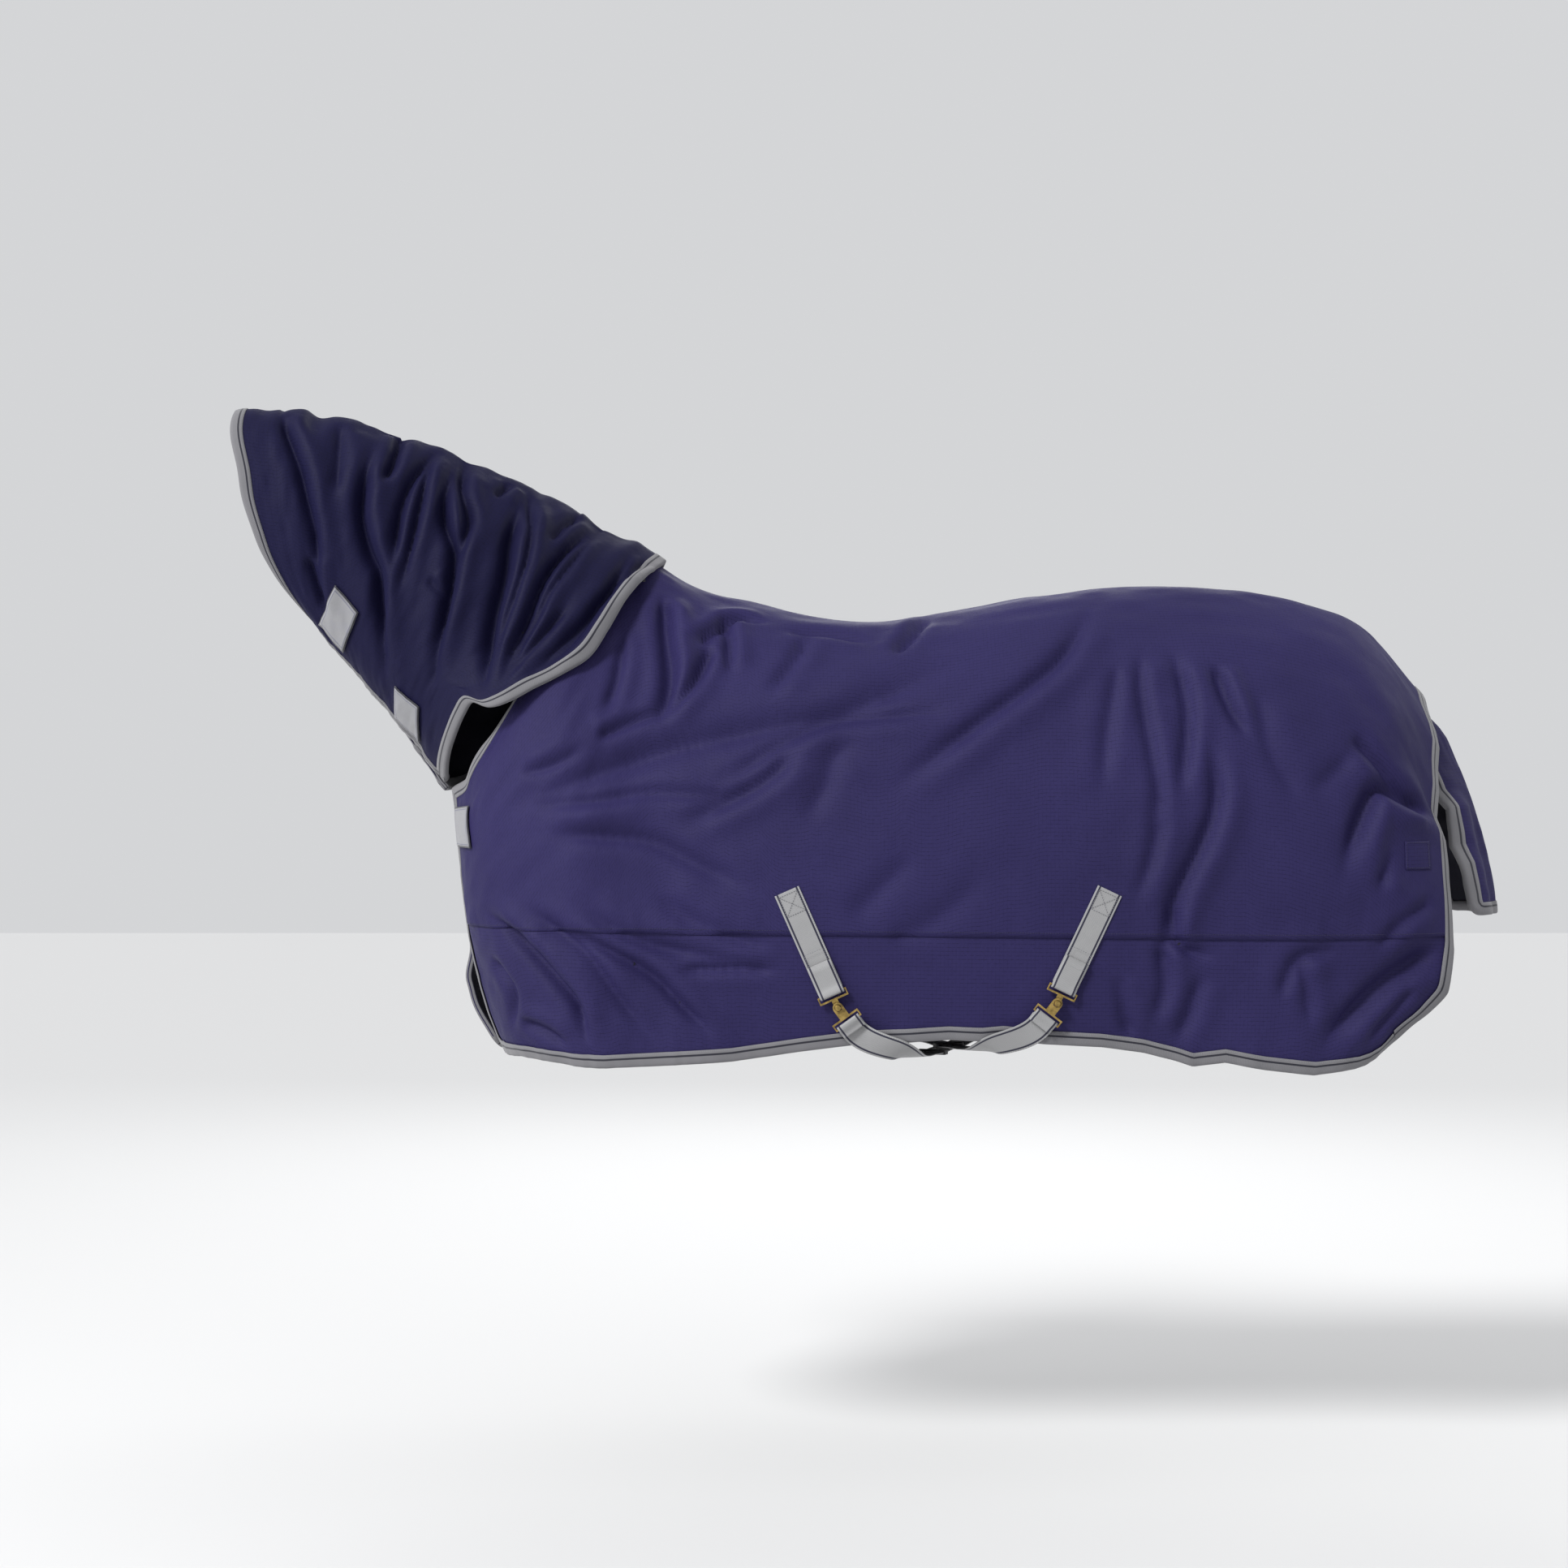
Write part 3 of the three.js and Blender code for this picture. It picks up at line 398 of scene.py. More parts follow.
def throughPoints(points, share):
    points = np.asarray(points, float)
    last = len(points) - 1
    place = np.clip(share, 0, 1) * last
    index = np.minimum(place.astype(int), last - 1)
    t = (place - index)[..., None]
    ends = np.vstack([2 * points[0] - points[1], points, 2 * points[-1] - points[-2]])
    a, b, c, d = (ends[index + k] for k in range(4))
    m0, m1 = (c - a) / 2, (d - b) / 2
    return b + m0 * t + (3 * (c - b) - 2 * m0 - m1) * t ** 2 + (2 * (b - c) + m0 + m1) * t ** 3


def bezierSection(rows, v):
    v = v[..., None]
    w = 1 - v
    return rows[0] * w ** 3 + rows[1] * 3 * w * w * v + rows[2] * 3 * w * v * v + rows[3] * v ** 3


def smooth(value, low, high):
    t = np.clip((value - low) / (high - low), 0, 1)
    return t * t * (3 - 2 * t)


def lineThrough(points, where, key=0, value=1):
    # reads a line given by points: value at a place along key
    points = np.asarray(points, float)
    order = np.argsort(points[:, key])
    return np.interp(where, points[order, key], points[order, value])


# where the cloth's edges really fall, as (x, z): the loft is eased towards these lines
edgeLines = {
    "rear": [(1.39, -0.183), (1.402, -0.262), (1.404, -0.292), (1.396, -0.331), (1.39, -0.382),
             (1.38, -0.432), (1.392, -0.477), (1.396, -0.6), (1.396, -0.68), (1.391, -0.715),
             (1.383, -0.757), (1.362, -0.80), (1.3, -0.85)],
    "hem": [(-0.45, -0.893), (-0.40, -0.887), (-0.345, -0.893), (-0.29, -0.899), (-0.23, -0.902),
            (-0.13, -0.897), (0.01, -0.888), (0.143, -0.868), (0.24, -0.857), (0.33, -0.852),
            (0.42, -0.846), (0.483, -0.849),
            (0.526, -0.845), (0.6, -0.855), (0.71, -0.86), (0.79, -0.871), (0.854, -0.888), (0.885, -0.899),
            (0.946, -0.888), (1.02, -0.903), (1.115, -0.915), (1.2, -0.906), (1.3, -0.875)],
}


def bodyRows(u):
    rows = [throughPoints(bodyGuides[:, row], u) for row in range(4)]
    rows[0][..., 1] = np.minimum(rows[0][..., 1], 0)
    return rows


def plainBody(u, v):
    # the CAD's own loft, before its edges are eased
    u, v = np.broadcast_arrays(np.asarray(u, float), np.asarray(v, float))
    return bezierSection(bodyRows(u), v)


def bodySurface(u, v):
    u, v = np.broadcast_arrays(np.asarray(u, float), np.asarray(v, float))
    rows = bodyRows(u)
    point = bezierSection(rows, v)
    hem = bezierSection(rows, np.ones_like(v))
    hemGap = lineThrough(edgeLines["hem"], hem[..., 0]) - hem[..., 2]
    point[..., 2] += hemGap * smooth(v, 0.72, 1) * 0.85
    rearRows = [np.broadcast_to(bodyGuides[-1, row], point.shape).copy() for row in range(4)]
    rear = bezierSection(rearRows, v)
    rearGap = lineThrough(edgeLines["rear"], rear[..., 2], 1, 0) - rear[..., 0]
    point[..., 0] += rearGap * smooth(u, 0.9, 1) * smooth(v, 0.02, 0.1) * (1 - smooth(v, 0.84, 0.95))
    return point


def slopes(surface, u, v, step=0.002):
    u0, u1 = np.clip(u - step, 0, 1), np.clip(u + step, 0, 1)
    v0, v1 = np.clip(v - step, 0, 1), np.clip(v + step, 0, 1)
    along = (surface(u1, v) - surface(u0, v)) / (u1 - u0)[..., None]
    down = (surface(u, v1) - surface(u, v0)) / (v1 - v0)[..., None]
    normal = np.cross(down, along)
    normal /= np.linalg.norm(normal, axis=-1, keepdims=True) + 1e-12
    return along, down, normal


def findOn(surface, x, z):
    # the place on a surface that has a given x and z
    u, v = np.meshgrid(np.linspace(0.02, 1, 50), np.linspace(0.05, 1, 40))
    grid = surface(u, v)
    found = []
    for px, pz in np.stack([np.ravel(x), np.ravel(z)], 1):
        miss = np.hypot(grid[..., 0] - px, grid[..., 2] - pz)
        best = np.unravel_index(np.argmin(miss), miss.shape)
        found.append((u[best], v[best]))
    found = np.array(found)
    target = np.stack([np.ravel(x), np.ravel(z)], 1)
    for _ in range(8):
        point = surface(found[:, 0], found[:, 1])
        along, down, _normal = slopes(surface, found[:, 0], found[:, 1])
        gap = target - point[:, [0, 2]]
        area = along[:, 0] * down[:, 2] - along[:, 2] * down[:, 0]
        found[:, 0] += (gap[:, 0] * down[:, 2] - gap[:, 1] * down[:, 0]) / area
        found[:, 1] += (along[:, 0] * gap[:, 1] - along[:, 2] * gap[:, 0]) / area
        found = np.clip(found, 0, 1)
    return found[:, 0].reshape(np.shape(x)), found[:, 1].reshape(np.shape(x))


# ---- folds: valleys and ridges laid along lines on a surface ----

gridSizes = {"body": (320, 180), "neck": (210, 140), "flap": (60, 44)}


def valueNoise(u, v, cells, seed):
    # smooth random field over (u, v), about -1 to 1
    lattice = np.random.default_rng(seed).uniform(-1, 1, (cells[0] + 3, cells[1] + 3))
    x, y = u * cells[0], v * cells[1]
    i, j = np.minimum(x.astype(int), cells[0] + 1), np.minimum(y.astype(int), cells[1] + 1)
    a, b = x - i, y - j
    a, b = a * a * (3 - 2 * a), b * b * (3 - 2 * b)
    top = lattice[i, j] * (1 - a) + lattice[i + 1, j] * a
    low = lattice[i, j + 1] * (1 - a) + lattice[i + 1, j + 1] * a
    return top * (1 - b) + low * b


foldStrength = 1.75


def foldHeight(points, surface, folds):
    # points: the grid in space. Each fold is (line of (x, z), depth, width, lean)
    height = np.zeros(points.shape[:2])
    flat = points[..., [0, 2]]
    for line, depth, width, lean in folds:
        line = np.asarray(line, float)
        smoothLine = throughPoints(line, np.linspace(0, 1, 10 * len(line)))
        u, v = findOn(surface, smoothLine[:, 0], smoothLine[:, 1])
        trail = surface(u, v)
        offset = points[:, :, None, :] - trail
        distance = np.linalg.norm(offset, axis=-1)
        nearest = np.argmin(distance, axis=-1)
        away = np.take_along_axis(distance, nearest[..., None], -1)[..., 0]
        run = np.gradient(smoothLine, axis=0)[nearest]
        gap = flat - smoothLine[nearest]
        side = np.sign(run[..., 0] * gap[..., 1] - run[..., 1] * gap[..., 0])
        share = nearest / (len(smoothLine) - 1)
        fade = 0.04 + 0.96 * smooth(share, 0, 0.2) * (1 - smooth(share, 0.72, 1))
        s = away / (0.85 * width) * side
        trough = 0.45 * np.exp(-s * s * 1.3) + 0.55 * np.exp(-np.abs(s) * 1.5)
        bankAbove = (0.5 + lean) * np.exp(-((s - 2.2) ** 2) / 2.2)
        bankBelow = (0.5 - lean) * np.exp(-((s + 2.2) ** 2) / 2.2)
        banks = bankAbove + bankBelow
        height += foldStrength * depth * fade * (0.5 * banks - trough)
    return height


def makeSheet(name, surface, folds, extra):
    columns, rows = gridSizes[name]
    u, v = np.meshgrid(np.linspace(0, 1, columns), np.linspace(0, 1, rows), indexing="ij")
    points = surface(u, v)
    height = foldHeight(points, surface, folds) + extra(points, u, v)
    return {"surface": surface, "height": height, "columns": columns, "rows": rows}


def heightAt(sheet, u, v):
    x = np.clip(u, 0, 1) * (sheet["columns"] - 1)
    y = np.clip(v, 0, 1) * (sheet["rows"] - 1)
    i = np.minimum(x.astype(int), sheet["columns"] - 2)
    j = np.minimum(y.astype(int), sheet["rows"] - 2)
    a, b = x - i, y - j
    h = sheet["height"]
    return ((h[i, j] * (1 - b) + h[i, j + 1] * b) * (1 - a)
            + (h[i + 1, j] * (1 - b) + h[i + 1, j + 1] * b) * a)


def onSheet(sheet, u, v, lift=0.0):
    u, v = np.broadcast_arrays(np.asarray(u, float), np.asarray(v, float))
    point = sheet["surface"](u, v)
    _along, _down, normal = slopes(sheet["surface"], u, v)
    return point + normal * (heightAt(sheet, u, v) + lift)[..., None]


# ---- meshes from grids ----


def newPiece(name, points, faces, finish, body, uv=None, smoothShade=True):
    mesh = bpy.data.meshes.new(name)
    mesh.from_pydata(np.asarray(points).reshape(-1, 3).tolist(), [], np.asarray(faces).tolist())
    if uv is not None:
        layer = mesh.uv_layers.new(name="cloth")
        loops = np.empty(len(mesh.loops), np.int32)
        mesh.loops.foreach_get("vertex_index", loops)
        layer.data.foreach_set("uv", np.asarray(uv, np.float32).reshape(-1, 2)[loops].ravel())
    mesh.validate()
    piece = bpy.data.objects.new(name, mesh)
    scene.collection.objects.link(piece)
    mesh.materials.append(finishes[finish])
    if smoothShade:
        mesh.polygons.foreach_set("use_smooth", [True] * len(mesh.polygons))
    if body is not None:
        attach(piece, body)
    return piece


def gridFaces(rows, columns, start=0, closeRows=False, flip=False):
    i, j = np.meshgrid(np.arange(rows if closeRows else rows - 1), np.arange(columns - 1), indexing="ij")
    nextRow = (i + 1) % rows
    a, b = start + i * columns + j, start + nextRow * columns + j
    faces = np.stack([a, b, b + 1, a + 1], -1).reshape(-1, 4)
    return faces[:, ::-1] if flip else faces


def clothCoordinates(points):
    # distance along and across a grid, so that a weave keeps its size
    along = np.linalg.norm(np.diff(points, axis=0), axis=-1).mean(1)
    across = np.linalg.norm(np.diff(points, axis=1), axis=-1)
    s = np.concatenate([[0], np.cumsum(along)])
    t = np.concatenate([np.zeros((points.shape[0], 1)), np.cumsum(across, 1)], 1)
    return np.stack([np.broadcast_to(s[:, None], t.shape), t], -1)


def mirrored(points):
    return points * np.array([1, -1, 1])


def thicken(piece, thickness, weld=True):
    # gives an open sheet its thickness, inwards
    if weld:
        work = bmesh.new()
        work.from_mesh(piece.data)
        bmesh.ops.remove_doubles(work, verts=work.verts, dist=0.00002)
        bmesh.ops.recalc_face_normals(work, faces=work.faces)
        work.to_mesh(piece.data)
        work.free()
    solid = piece.modifiers.new("thickness", "SOLIDIFY")
    solid.thickness = thickness
    solid.offset = -1
    applyModifiers(piece)
    return piece


def applyModifiers(piece):
    bpy.context.view_layer.update()
    ready = bpy.data.meshes.new_from_object(piece.evaluated_get(bpy.context.evaluated_depsgraph_get()))
    ready.name = piece.data.name
    piece.modifiers.clear()
    piece.data = ready
    piece.data.polygons.foreach_set("use_smooth", [True] * len(ready.polygons))


def bothSides(near, off):
    # two grids, the second one mirrored, as one list of points and faces
    rows, columns = near.shape[:2]
    points = np.concatenate([near.reshape(-1, 3), off.reshape(-1, 3)])
    faces = np.concatenate([gridFaces(rows, columns), gridFaces(rows, columns, rows * columns, flip=True)])
    return points, faces


def facing(piece, outward):
    # outward: a direction for one test, (axis, sign), taken at the farthest point on that side
    axis, sign = outward
    middles = np.array([p.center for p in piece.data.polygons])
    best = int(np.argmax(middles[:, axis] * sign))
    if piece.data.polygons[best].normal[axis] * sign < 0:
        piece.data.flip_normals()


def meet(near, off, span=0.16):
    # makes the two sides' heights agree on the centre line
    share = np.linspace(0, 1, near["rows"])
    keep = smooth(share, 0, span)[None, :]
    middle = (near["height"][:, :1] + off["height"][:, :1]) / 2
    for sheet in (near, off):
        sheet["height"] = sheet["height"] + (middle - sheet["height"][:, :1]) * (1 - keep)


def shifted(folds, seed, reach, depthChange=0.35):
    # the far side has the same kind of folds in other places
    source = np.random.default_rng(seed)
    others = []
    for line, depth, width, lean in folds:
        line = np.asarray(line) + source.uniform(-reach, reach, 2)
        depth = depth * source.uniform(1 - depthChange, 1 + depthChange)
        others.append((line, depth, width * source.uniform(0.85, 1.25), -lean))
    return others


# ---- body rug ----

bodyRug = {
    "shellThickness": 0.003,
    "liningGap": 0.0062,
    "liningThickness": 0.0015,
    "seamOverlap": 0.009,
    "rearCorner": 0.085,
    "frontCorner": 0.03,
    "softWaves": 0.0052,
    "smallWaves": 0.0021,
    "spineBumps": 0.008,
    "seamPucker": 0.0016,
    "panelLift": 0.0012,
    "skirtLift": -0.0014,
    "skirtShare": 0.6,  # of the shell's thickness
    "heightRange": (-0.024, 0.017),  # deepest valley and highest ridge
}

# each fold: its line as (x, z), depth, width, lean
bodyFolds = [
    # off the loin and down over the barrel
    ([(0.72, 0.0), (0.65, -0.108), (0.584, -0.168), (0.507, -0.224), (0.419, -0.29), (0.3, -0.38)],
     0.014, 0.021, 0.3),
    ([(0.5, -0.1), (0.25, -0.21), (0.1, -0.245), (-0.1, -0.29), (-0.28, -0.35), (-0.42, -0.4)],
     0.011, 0.034, -0.3),
    ([(0.43, -0.224), (0.32, -0.23), (0.2, -0.24), (0.1, -0.284), (0.03, -0.33), (-0.05, -0.365)],
     0.009, 0.018, 0.3),
    ([(0.14, -0.29), (0.077, -0.35), (0.0, -0.394), (-0.1, -0.442)], 0.012, 0.018, 0.3),
    ([(0.0, -0.38), (-0.044, -0.382), (-0.154, -0.378), (-0.264, -0.394), (-0.41, -0.405)],
     0.008, 0.015, 0.3),
    ([(-0.35, -0.455), (-0.242, -0.46), (-0.143, -0.471), (-0.044, -0.521), (0.07, -0.57)], 0.01, 0.02, 0.2),
    ([(0.14, -0.44), (0.187, -0.361), (0.204, -0.306), (0.253, -0.273)], 0.006, 0.024, 0.2),
    ([(0.23, -0.62), (0.29, -0.56), (0.363, -0.49)], 0.005, 0.026, 0.2),
    ([(0.3, -0.66), (0.39, -0.62), (0.5, -0.53)], 0.005, 0.028, 0.2),
    # gathered behind the neck cover
    ([(-0.13, 0.02), (-0.124, -0.06), (-0.115, -0.163), (-0.14, -0.25)], 0.022, 0.017, 0.3),
    ([(-0.06, -0.09), (-0.033, -0.064), (0.011, -0.036), (0.08, -0.042)], 0.013, 0.014, 0.3),
    ([(-0.01, -0.03), (0.0, -0.08), (0.0, -0.15)], 0.013, 0.013, 0.3),
    ([(-0.03, -0.09), (-0.05, -0.13), (-0.077, -0.18), (-0.125, -0.24)], 0.014, 0.014, 0.2),
    ([(-0.25, -0.27), (-0.231, -0.262), (-0.165, -0.235), (-0.11, -0.22)], 0.01, 0.014, 0.2),
    ([(-0.21, -0.06), (-0.215, -0.15), (-0.24, -0.23)], 0.009, 0.013, 0.2),
    ([(-0.4, -0.34), (-0.34, -0.325), (-0.27, -0.29)], 0.007, 0.015, 0.2),
    ([(0.16, -0.06), (0.121, -0.13), (0.075, -0.19)], 0.009, 0.016, 0.2),
    ([(0.32, -0.11), (0.345, -0.08), (0.372, -0.05), (0.4, -0.02)], 0.013, 0.015, 0.2),
    ([(0.28, -0.08), (0.187, -0.064), (0.1, -0.058)], 0.006, 0.014, 0.2),
    # hanging from the point of the croup
    ([(0.86, -0.1), (0.881, -0.2), (0.876, -0.295), (0.855, -0.4)], 0.011, 0.016, 0.3),
    ([(0.8, -0.1), (0.793, -0.174), (0.809, -0.295), (0.82, -0.394), (0.79, -0.51)], 0.009, 0.015, 0.3),
    ([(0.755, -0.12), (0.727, -0.251), (0.712, -0.38)], 0.007, 0.017, 0.2),
    ([(0.92, -0.26), (0.931, -0.383), (0.903, -0.471), (0.859, -0.559), (0.837, -0.626), (0.815, -0.75)],
     0.014, 0.018, 0.3),
    ([(0.94, -0.13), (0.95, -0.17), (0.968, -0.22), (1.0, -0.28)], 0.014, 0.014, 0.3),
    ([(0.83, -0.42), (0.815, -0.47), (0.79, -0.54), (0.75, -0.61)], 0.008, 0.015, 0.2),
    ([(1.01, -0.17), (1.04, -0.3), (1.1, -0.4)], 0.006, 0.026, 0.2),
    ([(1.22, -0.27), (1.17, -0.33), (1.11, -0.38)], 0.005, 0.02, 0.2),
    # round the buttock
    ([(1.375, -0.43), (1.333, -0.405), (1.289, -0.383), (1.245, -0.372), (1.217, -0.416),
      (1.195, -0.471), (1.17, -0.54)],
     0.022, 0.02, 0.35),
    ([(1.31, -0.39), (1.245, -0.317), (1.2, -0.26)], 0.012, 0.017, 0.2),
    ([(1.28, -0.49), (1.262, -0.52), (1.24, -0.57)], 0.009, 0.015, 0.2),
    ([(1.36, -0.58), (1.289, -0.626), (1.23, -0.68)], 0.007, 0.014, 0.2),
    ([(1.375, -0.67), (1.289, -0.719), (1.211, -0.78), (1.12, -0.87)], 0.019, 0.025, 0.35),
    ([(1.32, -0.75), (1.267, -0.8), (1.21, -0.86)], 0.009, 0.015, 0.2),
    ([(1.17, -0.678), (1.09, -0.69), (1.062, -0.73), (1.05, -0.78)], 0.008, 0.016, 0.2),
    ([(1.09, -0.69), (1.1, -0.75), (1.11, -0.83)], 0.006, 0.015, 0.2),
    # skirt
    ([(0.738, -0.72), (0.752, -0.79), (0.77, -0.85)], 0.009, 0.015, 0.2),
    ([(0.822, -0.66), (0.831, -0.74), (0.81, -0.82)], 0.009, 0.014, 0.2),
    ([(0.856, -0.585), (0.848, -0.64), (0.87, -0.675), (0.93, -0.69)], 0.01, 0.013, 0.2),
    ([(0.9, -0.72), (0.88, -0.79), (0.85, -0.86)], 0.008, 0.016, 0.2),
    ([(-0.47, -0.61), (-0.396, -0.67), (-0.33, -0.736), (-0.286, -0.791), (-0.265, -0.87)],
     0.019, 0.017, 0.35),
    ([(-0.31, -0.635), (-0.22, -0.681), (-0.143, -0.725), (-0.077, -0.791), (-0.01, -0.85)],
     0.012, 0.015, 0.3),
    ([(-0.39, -0.6), (-0.32, -0.645), (-0.264, -0.69), (-0.198, -0.78), (-0.12, -0.87)], 0.008, 0.016, 0.2),
    ([(-0.28, -0.6), (-0.187, -0.653), (-0.077, -0.681), (0.09, -0.703)], 0.008, 0.018, 0.2),
    ([(-0.14, -0.575), (-0.033, -0.637), (0.1, -0.675)], 0.007, 0.018, 0.2),
    ([(-0.1, -0.714), (0.011, -0.711), (0.13, -0.716)], 0.008, 0.013, 0.2),
    ([(-0.47, -0.7), (-0.42, -0.76), (-0.42, -0.84)], 0.009, 0.016, 0.2),
    ([(-0.4, -0.82), (-0.352, -0.835), (-0.3, -0.865)], 0.01, 0.014, 0.2),
]

# places where the cloth lies flat under webbing or hardware: (x, z, radius)
calmSpots = [
    (0.113, -0.565, 0.05), (0.15, -0.66, 0.06), (0.19, -0.74, 0.09), (0.21, -0.79, 0.08), (0.24, -0.83, 0.07),
    (0.725, -0.565, 0.05), (0.68, -0.66, 0.06), (0.64, -0.74, 0.09), (0.62, -0.78, 0.08), (0.59, -0.82, 0.07),
    (1.32, -0.5, 0.045),
]


def bodyExtra(seed):
    def extra(points, u, v):
        height = bodyRug["softWaves"] * valueNoise(u, v, (7, 4), seed)
        height += bodyRug["softWaves"] * 0.5 * valueNoise(u, v, (15, 8), seed + 1)
        height += bodyRug["smallWaves"] * valueNoise(u, v, (38, 22), seed + 2)
        spine = valueNoise(u, 0 * v, (17, 1), 3) * (1 - smooth(points[..., 0], 0.3, 0.55))
        height += bodyRug["spineBumps"] * spine * (1 - smooth(v, 0.02, 0.15))
        x, z = points[..., 0], points[..., 2]
        fromSeam = np.abs(z + rug["seamDrop"])
        ripple = valueNoise(u, v, (110, 4), seed + 3)
        height += bodyRug["seamPucker"] * ripple * np.exp(-(fromSeam / 0.03) ** 2)
        fromHem = np.abs(z - lineThrough(edgeLines["hem"], x))
        height += 0.0011 * valueNoise(u, v, (130, 3), seed + 4) * np.exp(-(fromHem / 0.045) ** 2)
        height += 0.004 * valueNoise(u, v, (17, 2), seed + 5) * smooth(v, 0.72, 1)
        return height
    return extra


def calmDown(sheet, spots, rest=-0.001):
    u, v = np.meshgrid(np.linspace(0, 1, sheet["columns"]), np.linspace(0, 1, sheet["rows"]), indexing="ij")
    points = sheet["surface"](u, v)
    for x, z, radius in spots:
        near = 1 - smooth(np.hypot(points[..., 0] - x, points[..., 2] - z), radius * 0.6, radius * 1.7)
        sheet["height"] = sheet["height"] * (1 - near) + rest * near


def bodyFoldField(folds, seed, surface=bodySurface):
    sheet = makeSheet("body", surface, folds, bodyExtra(seed))
    calmDown(sheet, calmSpots)
    u = np.linspace(0, 1, sheet["columns"])[:, None]
    # quiet along the chest front and the rear edge
    quiet = 0.25 + 0.75 * smooth(u, 0, 0.06)
    quiet *= 0.35 + 0.65 * smooth(1 - u, 0, 0.05)
    sheet["height"] = np.clip(sheet["height"] * quiet, *bodyRug["heightRange"])
    return sheet


def offBodySurface(u, v):
    # the off side's lower front corner hangs a little further forward
    point = bodySurface(u, v)
    lower = smooth(-point[..., 2], 0.68, 0.76) * (1 - 0.55 * smooth(-point[..., 2], 0.8, 0.89))
    point[..., 0] -= 0.024 * lower * (1 - smooth(np.asarray(u, float), 0, 0.13))
    return point


nearBody = bodyFoldField(bodyFolds, 21)
offBody = bodyFoldField(shifted(bodyFolds, 5, 0.05), 61, offBodySurface)
meet(nearBody, offBody, 0.12)
print("body folds ready")


def roundedPlace(a, b):
    # bends the square sheet's two lower corners into arcs
    u, v = np.array(a, float), np.array(b, float)
    for edge, radius in ((1.0, bodyRug["rearCorner"]), (0.0, bodyRug["frontCorner"])):
        along, down, _normal = slopes(bodySurface, np.array([edge]), np.array([1.0]))
        reachU = radius / np.linalg.norm(along[0])
        reachV = radius / np.linalg.norm(down[0])
        x = (u - (1 - reachU)) / reachU if edge else (reachU - u) / reachU
        y = (v - (1 - reachV)) / reachV
        inside = (x > 0) & (y > 0)
        pull = np.where(inside, np.maximum(x, y) / np.maximum(np.hypot(x, y), 1e-9), 1)
        u = np.where(inside, 1 - reachU + reachU * x * pull if edge else reachU - reachU * x * pull, u)
        v = np.where(inside, 1 - reachV + reachV * y * pull, v)
    return u, v


def seamShare(u):
    low, high = np.zeros_like(u), np.ones_like(u)
    for _ in range(22):
        middle = (low + high) / 2
        above = bodySurface(u, middle)[..., 2] > -rug["seamDrop"] - 0.012 * smooth(u, 0.3, 0.9)
        low, high = np.where(above, middle, low), np.where(above, high, middle)
    return low


def bodyGrid(sheet, columns, shares, lift):
    # shares: for each column, the places down the side
    a = np.broadcast_to(np.linspace(0, 1, columns)[:, None], shares.shape)
    u, v = roundedPlace(a, shares)
    return onSheet(sheet, u, v, lift)


def bodyLayer(name, finish, body, shareRows, lift, thickness, columns=300):
    shares = shareRows(np.linspace(0, 1, columns))
    near = bodyGrid(nearBody, columns, shares, lift)
    off = mirrored(bodyGrid(offBody, columns, shares, lift))
    points, faces = bothSides(near, off)
    uv = np.concatenate([clothCoordinates(near).reshape(-1, 2), clothCoordinates(off).reshape(-1, 2)])
    piece = newPiece(name, points, faces, finish, body, uv)
    facing(piece, (1, -1))
    thicken(piece, thickness)
    return piece


def panelShares(a):
    seam = seamShare(a) + bodyRug["seamOverlap"] / 1.2
    return seam[:, None] * np.linspace(0, 1, 106)[None, :]


def skirtShares(a):
    seam = seamShare(a)
    return seam[:, None] + (1 - seam[:, None]) * np.linspace(0, 1, 46)[None, :]


def wholeShares(a):
    return np.broadcast_to(np.linspace(0, 1, 90)[None, :], (len(a), 90))


bodyPanel = bodyLayer("bodyPanel", "shell", "root", panelShares,
                      bodyRug["panelLift"], bodyRug["shellThickness"])
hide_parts("body_panel_near", "body_panel_off")
bodySkirt = bodyLayer("bodySkirt", "shell", "root", skirtShares,
                      bodyRug["skirtLift"], bodyRug["shellThickness"] * bodyRug["skirtShare"])
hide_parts("body_skirt_near", "body_skirt_off")
bodyLining = bodyLayer("bodyLining", "lining", "root", wholeShares,
                       -bodyRug["shellThickness"] - bodyRug["liningGap"], bodyRug["liningThickness"], 170)
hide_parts("body_lining_near", "body_lining_off")
print("body cloth ready")

# ---- edge binding: a folded tape round an edge, with its lines woven in ----

tapeThickness = 0.0009
# how the tape runs in section: (distance in from the edge, lift from the cloth)
tapeSection = [
    (bandWidth, 0.0012), (bandWidth - 0.0006, 0.0026), (0.019, 0.0031), (0.0125, 0.0032), (0.006, 0.0031),
    (0.0012, 0.0026), (-0.0014, 0.0004), (-0.0018, -0.0035), (-0.0008, -0.0075), (0.002, -0.0098),
    (0.012, -0.0104), (0.021, -0.0098),
]


def tapeGrid(pathAt):
    # pathAt(distance in, lift) gives the line of points along the edge for one line of the tape
    lines = [pathAt(inset, lift) for inset, lift in tapeSection]
    return np.stack(lines, 1)


def tapeCoordinates(points):
    run = np.linalg.norm(np.diff(points[:, 4], axis=0), axis=-1)
    s = np.concatenate([[0], np.cumsum(run)])
    across = np.array([inset for inset, _lift in tapeSection])
    across[6:] = -0.002 - 0.001 * np.arange(len(across) - 6)
    return np.stack(np.broadcast_arrays(s[:, None], across[None, :]), -1)


